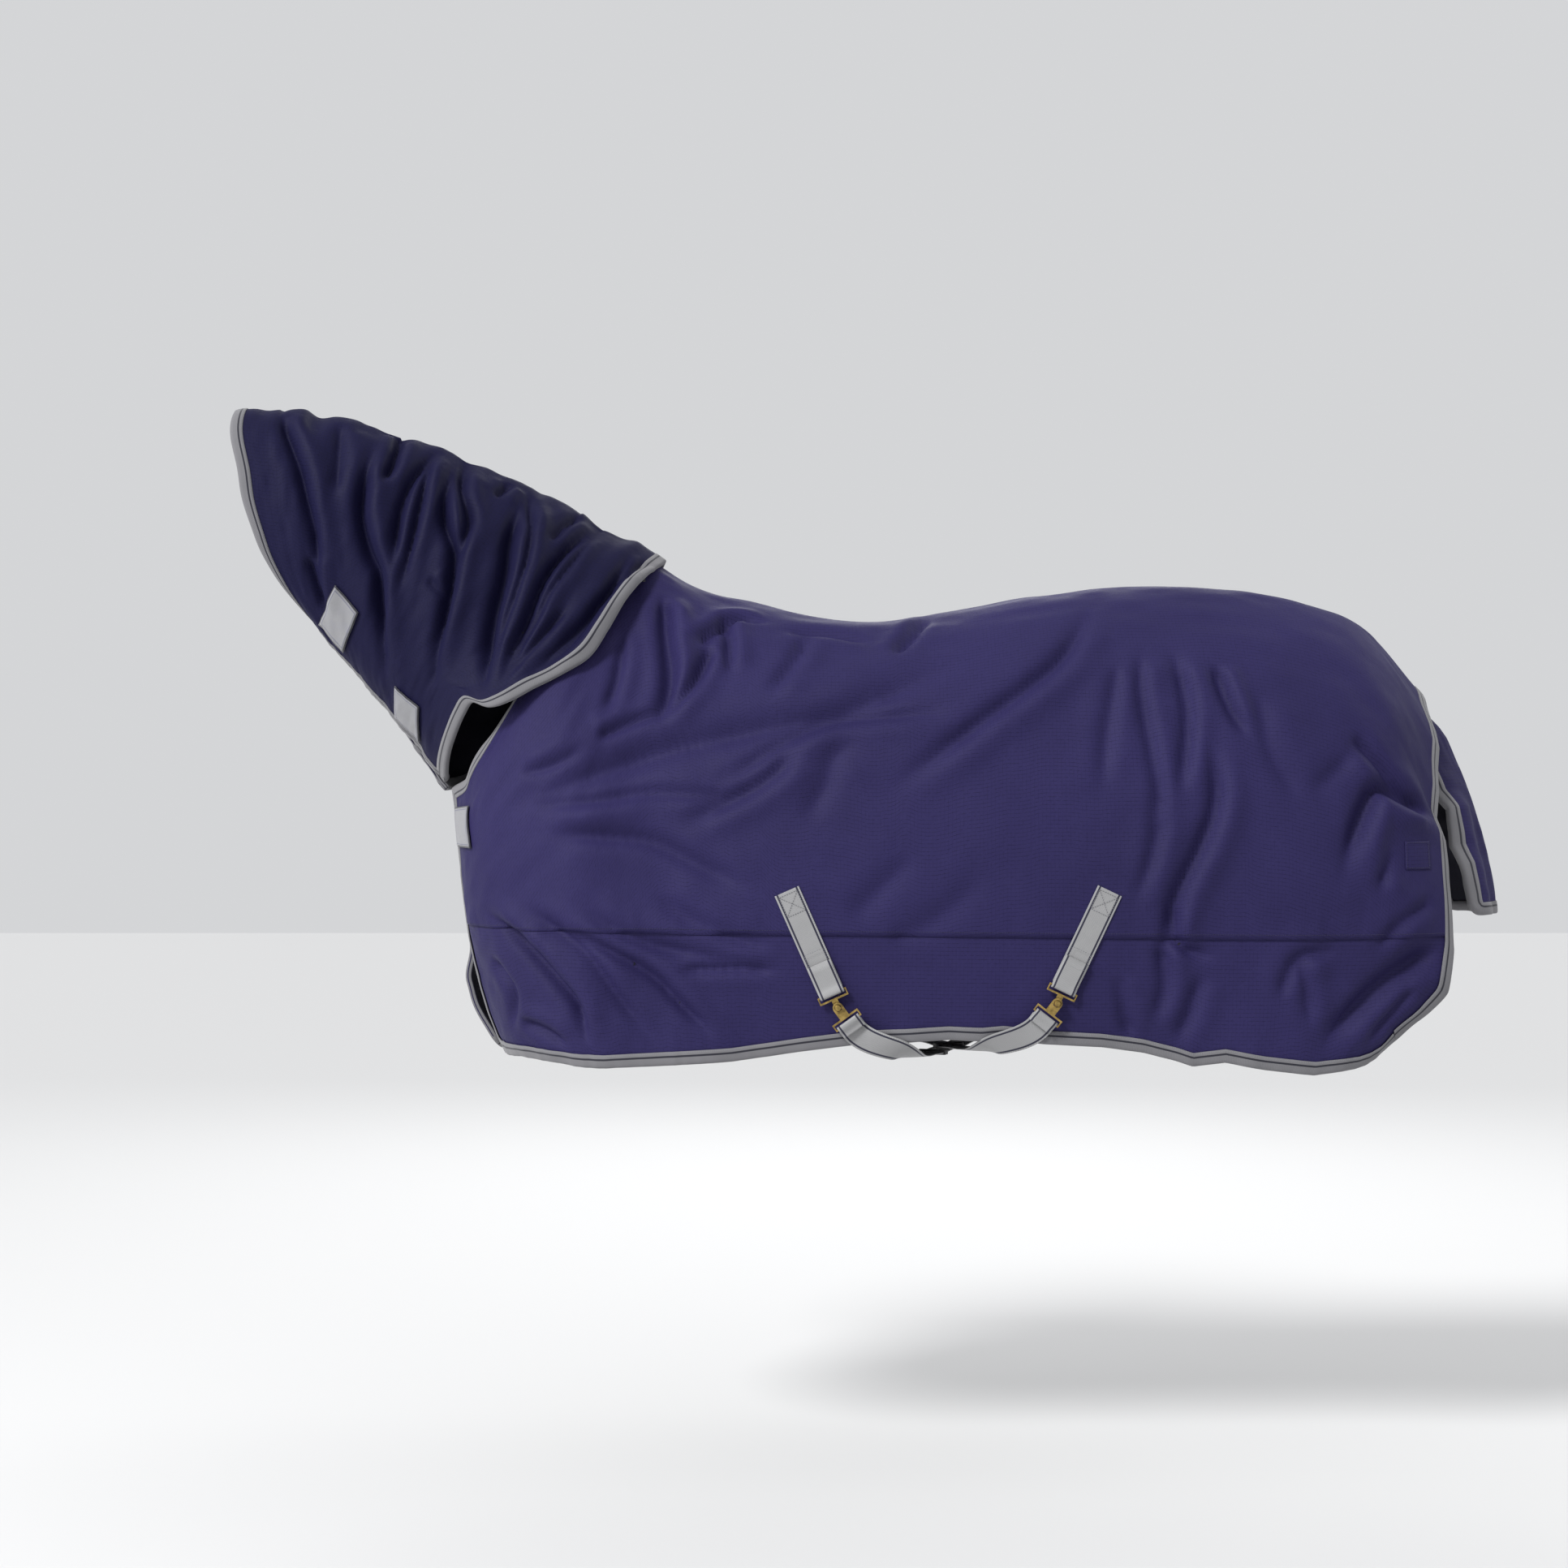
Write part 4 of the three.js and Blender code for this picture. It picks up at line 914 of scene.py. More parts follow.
def addTape(name, grids, body, nodes, finish="binding"):
    points, faces, uv, start = [], [], [], 0
    for grid, flip in grids:
        rows, columns = grid.shape[:2]
        points.append(grid.reshape(-1, 3))
        faces.append(gridFaces(rows, columns, start, flip=flip))
        uv.append(tapeCoordinates(grid).reshape(-1, 2))
        start += rows * columns
    points, faces, uv = np.concatenate(points), np.concatenate(faces), np.concatenate(uv)
    piece = newPiece(name, points, faces, finish, body, uv)
    facing(piece, (1, -1))
    thicken(piece, tapeThickness)
    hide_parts(*nodes)
    return piece


def edgeLengths(edge, share):
    # size of one unit of u or v at an edge of the body
    places = {"rear": (1.0, share), "front": (0.0, share), "hem": (share, 1.0), "collar": (share, 0.0)}
    u, v = (np.asarray(value + 0 * share, float) for value in places[edge])
    along, down, _normal = slopes(bodySurface, u, v)
    return np.linalg.norm(along if edge in ("rear", "front") else down, axis=-1)


def insetPlaces(edge, count, inset):
    corner = {key: edgeLengths(key, np.array([1.0 if key in ("rear", "front") else at]))[0]
              for key, at in (("rear", 1), ("front", 1), ("hem", 1))}
    if edge == "rear":
        share = np.linspace(0, 1 - inset / corner["hem"], count)
        return 1 - inset / edgeLengths("rear", share), share
    if edge == "hem":
        share = np.linspace(1 - inset / corner["rear"], inset / corner["front"], count)
        return share, 1 - inset / edgeLengths("hem", share)
    if edge == "front":
        top = inset / edgeLengths("collar", np.array([0.0]))[0]
        share = np.linspace(1 - inset / corner["hem"], top, count)
        return inset / edgeLengths("front", share), share
    start = inset / edgeLengths("front", np.array([0.0]))[0]
    share = np.linspace(start, rug["collarShare"], count)
    return share, inset / edgeLengths("collar", share)


def bodyTape(name, edge, count, nodes):
    def pathOn(sheet):
        def path(inset, lift):
            a, b = insetPlaces(edge, count, inset)
            u, v = roundedPlace(np.clip(a, 0, 1), np.clip(b, 0, 1))
            point = onSheet(sheet, u, v, lift)
            if inset < 0:
                along, down, _normal = slopes(sheet["surface"], u, v)
                out = {"rear": along, "front": -along, "hem": down, "collar": -down}[edge]
                point = point - inset * out / np.linalg.norm(out, axis=-1, keepdims=True)
            point[:, 1] = np.minimum(point[:, 1], 0)
            return point
        return path
    near = tapeGrid(pathOn(nearBody))
    off = mirrored(tapeGrid(pathOn(offBody)))
    return addTape(name, [(near, False), (off, True)], "root", nodes)


rearTape = bodyTape("rearEdgeBinding", "rear", 150, ["rear_edge_binding_near", "rear_edge_binding_off"])
hemTape = bodyTape("hemBinding", "hem", 420, ["hem_binding_near", "hem_binding_off"])
chestTape = bodyTape("chestBinding", "front", 90, ["chest_binding_near", "chest_binding_off"])
necklineTape = bodyTape("necklineBinding", "collar", 140, ["neckline_binding_near", "neckline_binding_off"])
print("body binding ready")

# ---- neck cover ----

neckCover = {
    "clearance": 0.010,  # above the body rug
    "shellThickness": 0.003,
    "softWaves": 0.0035,
    "smallWaves": 0.0012,
    "crestBumps": 0.0075,
    "cornerFlare": 0.03,  # how far the fold corner of the rim stands out
    "heightRange": (-0.03, 0.016),
    "shellLift": 0.001,
    "liningLift": -0.0062,
    "liningThickness": 0.0015,
}


def fittedRim():
    shares = np.array([(-0.065, 0, 0.082), (-0.082, 0, -0.031), (-0.255, 0, -0.301), (-0.292, 0, -0.402)])
    rim = shares * np.array([rug["bodyLength"], 0, rug["bodyDrop"]])
    rim[0, 2] += 0.016
    reach = 0
    for v in np.arange(0.2, 0.8, 0.1):
        point = bezierSection(rim, np.array(v))
        u, w = findOn(bodySurface, np.array([point[0]]), np.array([point[2]]))
        reach = max(reach, (0.016 - bodySurface(u, w)[0, 1]) / (3 * v * (1 - v)))
    rim[1, 1] = rim[2, 1] = -reach
    return rim


coverRim = fittedRim()
pollTop = coverRim[0] + np.array([-rug["neckLength"], 0, rug["neckRise"]])
sideGuide = rug["pollHalfWidth"] / 0.75
pollRim = np.array([
    pollTop,
    pollTop + np.array([-0.02 * rug["neckLength"], -sideGuide, -0.02 * rug["pollDepth"]]),
    pollTop + np.array([0.04 * rug["neckLength"], -sideGuide, -0.75 * rug["pollDepth"]]),
    pollTop + np.array([0.177 * rug["neckLength"], 0, -rug["pollDepth"]]),
])

# the rear rim as it really lies, from the withers round the shoulder, over the fold corner, to the throat
rimLine = np.array([
    (-0.13, 0.088), (-0.166, 0.05), (-0.202, 0.0), (-0.235, -0.06), (-0.27, -0.112), (-0.32, -0.145),
    (-0.375, -0.172), (-0.425, -0.2), (-0.462, -0.212), (-0.498, -0.202), (-0.52, -0.228), (-0.541, -0.266),
    (-0.56, -0.31), (-0.573, -0.356),
])
# on the off side the rim reaches further back, so that it covers the neckline all the way down
offRimLine = np.array([
    (-0.13, 0.088), (-0.16, 0.04), (-0.195, -0.02), (-0.225, -0.08), (-0.262, -0.135), (-0.305, -0.18),
    (-0.355, -0.222), (-0.402, -0.262), (-0.448, -0.3), (-0.49, -0.332), (-0.522, -0.355), (-0.548, -0.368),
    (-0.573, -0.372),
])
pollLine = np.array([
    (-0.9926, 0.389), (-0.99, 0.335), (-0.972, 0.265), (-0.962, 0.205), (-0.944, 0.146), (-0.927, 0.098),
    (-0.9, 0.048), (-0.866, 0.002), (-0.832, -0.035),
])


def byLength(line, share):
    # the point at a share of a line's length
    run = np.concatenate([[0], np.cumsum(np.linalg.norm(np.diff(line, axis=0), axis=-1))])
    place = np.interp(share, run / run[-1], np.linspace(0, 1, len(line)))
    return throughPoints(line, place)


def lengthShare(rim):
    v = np.linspace(0, 1, 101)
    flat = bezierSection(rim, v)[:, [0, 2]]
    run = np.concatenate([[0], np.cumsum(np.linalg.norm(np.diff(flat, axis=0), axis=-1))])
    return v, run / run[-1]


rimShares = {"rear": lengthShare(coverRim), "poll": lengthShare(pollRim)}


def neckSurface(u, v, lowerRim=rimLine):
    u, v = np.broadcast_arrays(np.asarray(u, float), np.asarray(v, float))
    rows = []
    arch = rug["crestArch"] * np.sin(np.pi * u ** 0.8)
    for row in range(4):
        mixed = pollRim[row] * (1 - u[..., None]) + coverRim[row] * u[..., None]
        mixed[..., 1] = pollRim[row][1] + (coverRim[row][1] - pollRim[row][1]) * u ** 2.2
        mixed[..., 2] += arch * (1.0, 0.8, 0, 0)[row]
        rows.append(mixed)
    point = bezierSection(rows, v)
    for key, rim, line, weight in (
        ("rear", coverRim, lowerRim, smooth(u, 0.66, 1)), ("poll", pollRim, pollLine, 1 - smooth(u, 0, 0.25)),
    ):
        shares, lengths = rimShares[key]
        share = np.interp(v, shares, lengths)
        wanted = byLength(line, share)
        base = bezierSection(rim, v)
        point[..., 0] += (wanted[..., 0] - base[..., 0]) * weight
        point[..., 2] += (wanted[..., 1] - base[..., 2]) * weight
        if key == "rear" and lowerRim is rimLine:
            flare = np.exp(-((share - 0.66) / 0.12) ** 2) * smooth(u, 0.78, 1)
            point[..., 1] -= neckCover["cornerFlare"] * flare
    return point


def offNeckSurface(u, v):
    return neckSurface(u, v, offRimLine)


neckFolds = [
    ([(-0.895, 0.38), (-0.8815, 0.346), (-0.8525, 0.272), (-0.834, 0.198), (-0.8208, 0.14),
      (-0.815, 0.087), (-0.808, -0.01)],
     0.014, 0.016, 0.3),
    ([(-0.778, 0.36), (-0.776, 0.288), (-0.776, 0.2)], 0.008, 0.018, 0.2),
    ([(-0.71, 0.31), (-0.723, 0.235), (-0.726, 0.166), (-0.7125, 0.103), (-0.694, 0.055),
      (-0.691, -0.01), (-0.688, -0.08),
      (-0.682, -0.18)], 0.021, 0.017, 0.35),
    ([(-0.655, 0.36), (-0.665, 0.3), (-0.673, 0.265), (-0.69, 0.23)], 0.015, 0.013, 0.2),
    ([(-0.585, 0.31), (-0.6253, 0.25), (-0.6465, 0.193), (-0.657, 0.13), (-0.662, 0.04)], 0.015, 0.013, 0.3),
    ([(-0.59, 0.3), (-0.604, 0.235), (-0.615, 0.17), (-0.628, 0.103), (-0.653, -0.01)], 0.013, 0.012, 0.3),
    ([(-0.55, 0.29), (-0.564, 0.21), (-0.56, 0.155), (-0.542, 0.098), (-0.546, 0.034),
      (-0.5566, -0.02), (-0.5725, -0.093),
      (-0.585, -0.2)], 0.019, 0.015, 0.35),
    ([(-0.53, 0.3), (-0.53, 0.22), (-0.517, 0.166), (-0.52, 0.119), (-0.535, 0.06)], 0.015, 0.014, 0.2),
    ([(-0.415, 0.21), (-0.4324, 0.119), (-0.44, 0.05), (-0.459, -0.029), (-0.472, -0.108), (-0.479, -0.19)],
     0.024, 0.018, 0.35),
    ([(-0.405, 0.23), (-0.393, 0.156), (-0.398, 0.076), (-0.419, -0.003), (-0.44, -0.072), (-0.458, -0.175)],
     0.012, 0.012, 0.3),
    ([(-0.27, 0.155), (-0.3295, 0.092), (-0.3664, 0.034), (-0.393, -0.04), (-0.419, -0.098),
      (-0.447, -0.185)],
     0.018, 0.013, 0.3),
    ([(-0.262, 0.14), (-0.308, 0.076), (-0.35, 0.013), (-0.372, -0.04), (-0.403, -0.098), (-0.437, -0.175)],
     0.01, 0.011, 0.2),
    ([(-0.195, 0.1), (-0.229, 0.029), (-0.2555, -0.008), (-0.287, -0.056), (-0.324, -0.098), (-0.38, -0.145)],
     0.018, 0.014, 0.3),
    ([(-0.3, 0.175), (-0.33, 0.15), (-0.36, 0.11)], 0.009, 0.013, 0.2),
    ([(-0.44, 0.24), (-0.467, 0.21)], 0.01, 0.013, 0.2),
    ([(-0.31, -0.01), (-0.36, -0.07), (-0.382, -0.098), (-0.43, -0.16)], 0.009, 0.011, 0.2),
    ([(-0.835, 0.09), (-0.82, 0.03), (-0.803, -0.03)], 0.011, 0.014, 0.2),
    ([(-0.165, 0.08), (-0.19, 0.06), (-0.215, 0.035)], 0.009, 0.011, 0.2),
    ([(-0.59, 0.042), (-0.575, 0.025), (-0.555, 0.005)], 0.006, 0.01, 0.2),
]


def neckExtra(seed):
    def extra(_points, u, v):
        height = neckCover["softWaves"] * valueNoise(u, v, (9, 4), seed)
        height += neckCover["softWaves"] * 0.5 * valueNoise(u, v, (20, 8), seed + 1)
        height += neckCover["smallWaves"] * valueNoise(u, v, (44, 16), seed + 2)
        crest = valueNoise(u, 0 * v, (15, 1), 7) + 0.5 * valueNoise(u, 0 * v, (31, 1), 8)
        height += neckCover["crestBumps"] * crest * (1 - smooth(v, 0.03, 0.24))
        quiet = smooth(u, 0, 0.09) * (0.35 + 0.65 * smooth(1 - u, 0, 0.08))
        return height * (0.2 + 0.8 * quiet)
    return extra


def neckFoldField(surface, folds, seed):
    sheet = makeSheet("neck", surface, folds, neckExtra(seed))
    u = np.linspace(0, 1, sheet["columns"])[:, None]
    quiet = 0.12 + 0.88 * smooth(u, 0.01, 0.1)
    sheet["height"] = np.clip(sheet["height"] * quiet, *neckCover["heightRange"])
    return sheet


nearNeck = neckFoldField(neckSurface, neckFolds, 91)
offNeck = neckFoldField(offNeckSurface, shifted(neckFolds, 8, 0.03), 131)
meet(nearNeck, offNeck)
print("neck folds ready")


def bodyTree(sheet):
    u, v = np.meshgrid(np.linspace(0, 0.75, 150), np.linspace(0, 0.7, 90), indexing="ij")
    points = onSheet(sheet, u, v, 0.0012).reshape(-1, 3)
    _along, _down, normals = slopes(bodySurface, u, v)
    tree = KDTree(len(points))
    for index, point in enumerate(points):
        tree.insert(point, index)
    tree.balance()
    return tree, points, normals.reshape(-1, 3)


bodyTrees = {"near": bodyTree(nearBody), "off": bodyTree(offBody)}


def clearOfBody(points, side, clearance):
    # pushes points of the cover out until they stand clear of the body rug
    tree, spots, normals = bodyTrees[side]
    flat = points.reshape(-1, 3).copy()
    for index, point in enumerate(flat):
        if point[0] < -0.62:
            continue
        for _ in range(2):
            _spot, found, distance = tree.find(flat[index])
            if distance > 0.08:
                break
            away = float(np.dot(flat[index] - spots[found], normals[found]))
            if away >= clearance:
                break
            flat[index] += (clearance - away) * normals[found]
    flat[:, 1] = np.minimum(flat[:, 1], 0)
    return flat.reshape(points.shape)


def neckGrid(sheet, side, u, v, lift, clearance):
    points = clearOfBody(onSheet(sheet, u, v, lift), side, clearance + lift)
    return points if side == "near" else mirrored(points)


def neckLayer(name, finish, lift, thickness, columns, rows):
    u, v = np.meshgrid(np.linspace(0, 1, columns), np.linspace(0, 1, rows), indexing="ij")
    near = neckGrid(nearNeck, "near", u, v, lift, neckCover["clearance"])
    off = neckGrid(offNeck, "off", u, v, lift, neckCover["clearance"])
    points, faces = bothSides(near, off)
    uv = np.concatenate([clothCoordinates(near).reshape(-1, 2), clothCoordinates(off).reshape(-1, 2)])
    piece = newPiece(name, points, faces, finish, "neck_cover", uv)
    facing(piece, (1, -1))
    thicken(piece, thickness)
    return piece


neckShell = neckLayer("neckShell", "neckShell", neckCover["shellLift"],
                      neckCover["shellThickness"], 210, 110)
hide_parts("neck_cover_near", "neck_cover_off")
neckLining = neckLayer("neckLining", "lining", neckCover["liningLift"],
                       neckCover["liningThickness"], 120, 70)
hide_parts("neck_lining_near", "neck_lining_off")


def neckTape(name, edge, count, nodes):
    def pathOn(sheet, side):
        def path(inset, lift):
            share = np.linspace(0, 1, count)
            one = np.ones(count)
            where = {"poll": (0 * one, share), "rear": (one, share), "throat": (share, one)}[edge]
            along, down, _normal = slopes(sheet["surface"], *where)
            size = np.linalg.norm(down if edge == "throat" else along, axis=-1)
            step = max(inset, 0) / size
            u, v = {"poll": (step, share), "rear": (1 - step, share), "throat": (share, 1 - step)}[edge]
            point = clearOfBody(onSheet(sheet, u, v, lift), side, neckCover["clearance"] + lift)
            if inset < 0:
                out = {"poll": -along, "rear": along, "throat": down}[edge]
                point = point - inset * out / np.linalg.norm(out, axis=-1, keepdims=True)
            point[:, 1] = np.minimum(point[:, 1], 0)
            return point
        return path
    near = tapeGrid(pathOn(nearNeck, "near"))
    off = mirrored(tapeGrid(pathOn(offNeck, "off")))
    return addTape(name, [(near, False), (off, True)], "neck_cover", nodes)


pollTape = neckTape("pollBinding", "poll", 130, ["neck_binding_near"])
rimTape = neckTape("coverRimBinding", "rear", 170, ["neck_binding_off"])
throatTape = neckTape("throatBinding", "throat", 110, [])
print("neck cover ready")

# ---- tail flap ----

tailFlap = {
    "length": 0.41,
    "reach": 0.122,
    "dock": (1.4136, 0, -0.2093),
    "tuck": 0.03,
    "shellLift": 0.0008,
    "liningLift": -0.006,
    "shellThickness": 0.0028,
    "liningThickness": 0.0015,
    # share of the length, half width, how far the sides curl forward
    "sides": [(0, 0.05, 0.07), (0.2, 0.07, 0.09), (0.4, 0.098, 0.088), (0.48, 0.104, 0.068),
              (0.56, 0.11, 0.075), (0.66, 0.118, 0.084), (0.75, 0.124, 0.072), (0.94, 0.134, 0.07),
              (1, 0.135, 0.063)],
}


def flapSurface(u, v):
    u, v = np.broadcast_arrays(np.asarray(u, float), np.asarray(v, float))
    sides = np.array(tailFlap["sides"])
    half = np.interp(v, sides[:, 0], sides[:, 1])
    curl = np.interp(v, sides[:, 0], sides[:, 2])
    across = 2 * u - 1
    back = tailFlap["reach"] * (1 - (1 - v) ** 1.6) - tailFlap["tuck"] * np.clip(1 - v / 0.16, 0, 1) ** 2
    x = back - curl * np.abs(across) ** 1.7
    return np.stack([x, across * half, -tailFlap["length"] * v], -1) + np.array(tailFlap["dock"])


def flapExtra(_points, u, v):
    channel = 0.006 * np.cos((u - 0.5) * 19) * smooth(v, 0.15, 0.8)
    return channel + 0.003 * valueNoise(u, v, (5, 5), 77) + 0.0012 * valueNoise(u, v, (16, 20), 78)


flapSheet = makeSheet("flap", flapSurface, [], flapExtra)


def flapPlace(a, b, radius=0.03):
    u, v = np.array(a, float), np.array(b, float)
    reachU, reachV = radius / 0.27, radius / 0.43
    for low in (False, True):
        x = (reachU - u) / reachU if low else (u - 1 + reachU) / reachU
        y = (v - 1 + reachV) / reachV
        inside = (x > 0) & (y > 0)
        pull = np.where(inside, np.maximum(x, y) / np.maximum(np.hypot(x, y), 1e-9), 1)
        u = np.where(inside, reachU - reachU * x * pull if low else 1 - reachU + reachU * x * pull, u)
        v = np.where(inside, 1 - reachV + reachV * y * pull, v)
    return u, v


def flapLayer(name, finish, lift, thickness, nodes):
    a, b = np.meshgrid(np.linspace(0, 1, 90), np.linspace(0, 1, 120), indexing="ij")
    points = onSheet(flapSheet, *flapPlace(a, b), lift)
    piece = newPiece(name, points, gridFaces(90, 120), finish, "tail_flap", clothCoordinates(points))
    facing(piece, (0, 1))
    thicken(piece, thickness)
    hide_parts(*nodes)
    return piece


flapMiddle = onSheet(flapSheet, np.array([0.5]), np.array([0.5]), 0.01)[0]
flapSide = -1 if flapMiddle[0] < flapSurface(0.5, 0.5)[0] else 1  # the sign of a lift away from the horse
flapShell = flapLayer("tailFlapShell", "shell", tailFlap["shellLift"] * flapSide,
                      tailFlap["shellThickness"], ["tail_flap"])
flapLining = flapLayer("tailFlapLining", "lining", tailFlap["liningLift"] * flapSide,
                       tailFlap["liningThickness"], ["tail_flap_lining"])


def flapTape():
    def path(inset, lift):
        stepU, stepV = inset / 0.25, inset / 0.43
        down = np.linspace(0, 1 - stepV, 110)
        over = np.linspace(stepU, 1 - stepU, 90)[1:-1]
        a = np.concatenate([0 * down + stepU, over, 0 * down + 1 - stepU])
        b = np.concatenate([down, 0 * over + 1 - stepV, down[::-1]])
        u, v = flapPlace(np.clip(a, 0, 1), np.clip(b, 0, 1))
        point = onSheet(flapSheet, u, v, lift * flapSide)
        if inset < 0:
            middle = flapSurface(0.5 + 0 * u, np.clip(v - 0.12, 0, 1))
            out = point - middle
            point = point - inset * out / np.linalg.norm(out, axis=-1, keepdims=True)
        return point
    grids = [(tapeGrid(path), False)]
    return addTape("tailFlapBinding", grids, "tail_flap", ["tail_flap_binding"])


flapBinding = flapTape()
print("tail flap ready")

# ---- surcingles: sewn webbing, loops round the bars, belly straps ----

surcingles = {
    "front": {"top": (0.0577, -0.634), "bottom": (0.1, -0.845), "plateTurn": 12},
    "rear": {"top": (0.37, -0.633), "bottom": (0.326, -0.836), "plateTurn": -12},
}

webbing = {
    "width": webbingWidth,
    "thickness": 0.0019,
    "layer": 0.002,  # one layer, as the CAD has it
    "seat": 0.001,  # the CAD's webbing above its shell
    "gap": 0.0003,  # between pieces that touch
    "lift": 0.0038,
    "loopWidth": 0.0485,
    "foldedTail": 0.062,
    "strapTail": 0.021,
    "bar": 0.0035,
    "slack": 0.0008,
    "frameSlot": 0.008,  # opening in a hook's frame
    "studReach": 0.015,  # from the frame to the stud
    "studLift": 0.0034,
    "slotToBar": 0.035,
}
loopOuter = webbing["bar"] * math.sqrt(0.5) + webbing["slack"] + webbing["layer"]


def sideXZ(share):
    return np.array([share[0] * rug["bodyLength"], share[1] * rug["bodyDrop"]])


def surcingleLine(surcingle):
    # its top, its bottom and the way between them
    top, bottom = sideXZ(surcingle["top"]), sideXZ(surcingle["bottom"])
    return top, bottom, (bottom - top) / np.linalg.norm(bottom - top)


def cleanRibbon(points, uv, name, finish, body, thickness, outward):
    rows, columns = points.shape[:2]
    piece = newPiece(name, points, gridFaces(rows, columns), finish, body, uv)
    facing(piece, outward)
    thicken(piece, thickness, weld=False)
    bevel = piece.modifiers.new("softEdge", "BEVEL")
    bevel.width = thickness * 0.35
    bevel.segments = 2
    bevel.limit_method = "ANGLE"
    bevel.angle_limit = math.radians(50)
    applyModifiers(piece)
    return piece


def sewnWebbing(name, surcingle, sheet, side, nodes):
    start, end, heading = surcingleLine(surcingle)
    across = np.array([heading[1], -heading[0]])
    s = np.linspace(0, 1, 46)[:, None]
    t = np.linspace(-0.5, 0.5, 7)[None, :]
    x = start[0] + (end - start)[0] * s + across[0] * t * webbing["width"]
    z = start[1] + (end - start)[1] * s + across[1] * t * webbing["width"]
    u, v = findOn(bodySurface, x, z)
    points = onSheet(sheet, u, v, webbing["lift"])
    # the cloth's small waves show through only a little
    plain = bodySurface(u, v)
    _along, _down, normal = slopes(bodySurface, u, v)
    height = ((points - plain) * normal).sum(-1)
    evened = np.maximum(height.mean(1, keepdims=True), height * 0.6 + height.mean(1, keepdims=True) * 0.4)
    points = plain + normal * evened[..., None]
    if side == "off":
        points = mirrored(points)
    length = np.linalg.norm(end - start)
    uv = np.stack(np.broadcast_arrays(s * length, (t + 0.5) * webbing["width"]), -1)
    piece = cleanRibbon(points, uv, name, "webbing", "root", webbing["thickness"],
                        (1, -1 if side == "near" else 1))
    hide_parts(*nodes)
    return piece


def frameOnBody(x, z, heading, lift, surface=bodySurface):
    # across, down and out of the rug at a place on the near side
    u, v = findOn(surface, np.array([x]), np.array([z]))
    point = surface(u, v)[0]
    _along, _down, normal = slopes(surface, u, v)
    normal = normal[0]
    down = np.array([heading[0], 0, heading[1]])
    down = down - normal * down.dot(normal)
    down /= np.linalg.norm(down)
    return {"at": point + normal * lift, "across": np.cross(down, normal), "down": down, "out": normal}


def turned(place, degrees):
    angle = math.radians(degrees)
    across = place["across"] * math.cos(angle) + place["down"] * math.sin(angle)
    down = place["down"] * math.cos(angle) - place["across"] * math.sin(angle)
    return {**place, "across": across, "down": down}


def moved(place, down, out):
    return {**place, "at": place["at"] + place["down"] * down + place["out"] * out}


def loopLine(inner, tail, flipped):
    # (down, out) points of webbing that comes along under a bar, turns round it and lies back on itself
    middle = inner + webbing["thickness"] / 2
    line = [(-tail, -middle), (-tail * 0.5, -middle), (-0.004, -middle)]
    line += [(middle * math.sin(a), -middle * math.cos(a)) for a in np.linspace(0, math.pi * 0.9, 13)]
    back = -middle + webbing["thickness"] * 1.12
    line += [(-0.0045, middle * 0.62), (-0.0085, back + 0.0022), (-0.0125, back + 0.0004), (-0.018, back)]
    line += [(-tail * share, back) for share in (0.5, 0.75, 0.97)] if tail > 0.03 else [(-tail, back)]
    return [(-down, out) for down, out in line] if flipped else line


def addLoop(name, place, tail, node, flipped=False, bar=webbing["bar"], width=webbing["loopWidth"]):
    inner = bar * math.sqrt(0.5) + webbing["slack"]
    line = np.array(loopLine(inner, tail, flipped))
    run = np.concatenate([[0], np.cumsum(np.linalg.norm(np.diff(line, axis=0), axis=-1))])
    t = np.linspace(-0.5, 0.5, 7)
    points = (place["at"] + line[:, None, :1] * place["down"] + line[:, None, 1:] * place["out"]
              + t[None, :, None] * width * place["across"])
    uv = np.stack(np.broadcast_arrays(run[:, None], (t[None, :] + 0.5) * webbing["width"]), -1)
    rows, columns = points.shape[:2]
    piece = newPiece(name, points, gridFaces(rows, columns), "webbing", "root", uv)
    solid = piece.modifiers.new("thickness", "SOLIDIFY")
    solid.thickness = webbing["thickness"] * 0.94
    solid.offset = 0
    applyModifiers(piece)
    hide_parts(node)
    return piece


def evenLine(points, count):
    # a smooth line through unevenly spaced points
    points = np.asarray(points, float)
    run = np.concatenate([[0], np.cumsum(np.linalg.norm(np.diff(points, axis=0), axis=-1))])
    slope = np.gradient(points, run, axis=0)
    where = np.linspace(0, run[-1], count)
    index = np.clip(np.searchsorted(run, where) - 1, 0, len(run) - 2)
    step = (run[index + 1] - run[index])[:, None]
    t = ((where - run[index]) / step[:, 0])[:, None]
    a, b = points[index], points[index + 1]
    m0, m1 = slope[index] * step, slope[index + 1] * step
    line = b * (3 * t ** 2 - 2 * t ** 3) + a * (1 - 3 * t ** 2 + 2 * t ** 3)
    line += m0 * (t - 2 * t ** 2 + t ** 3) + m1 * (t ** 3 - t ** 2)
    return line, run[-1]


def surcingleFrames(surcingle, surface=bodySurface):
    # the places of the hook's webbing bar and of the slot plate's bar
    _top, bottom, heading = surcingleLine(surcingle)
    lift = webbing["seat"] + webbing["layer"] + 3 * webbing["gap"] + loopOuter
    hook = frameOnBody(*(bottom + heading * (loopOuter + webbing["gap"])), heading, lift, surface)
    frameDepth = 2 * webbing["bar"] + webbing["frameSlot"]
    studPlace = frameDepth - webbing["bar"] / 2 + webbing["studReach"]
    stud = moved(hook, studPlace, webbing["bar"] + webbing["studLift"])
    return hook, moved(turned(stud, surcingle["plateTurn"]), webbing["slotToBar"], 0)


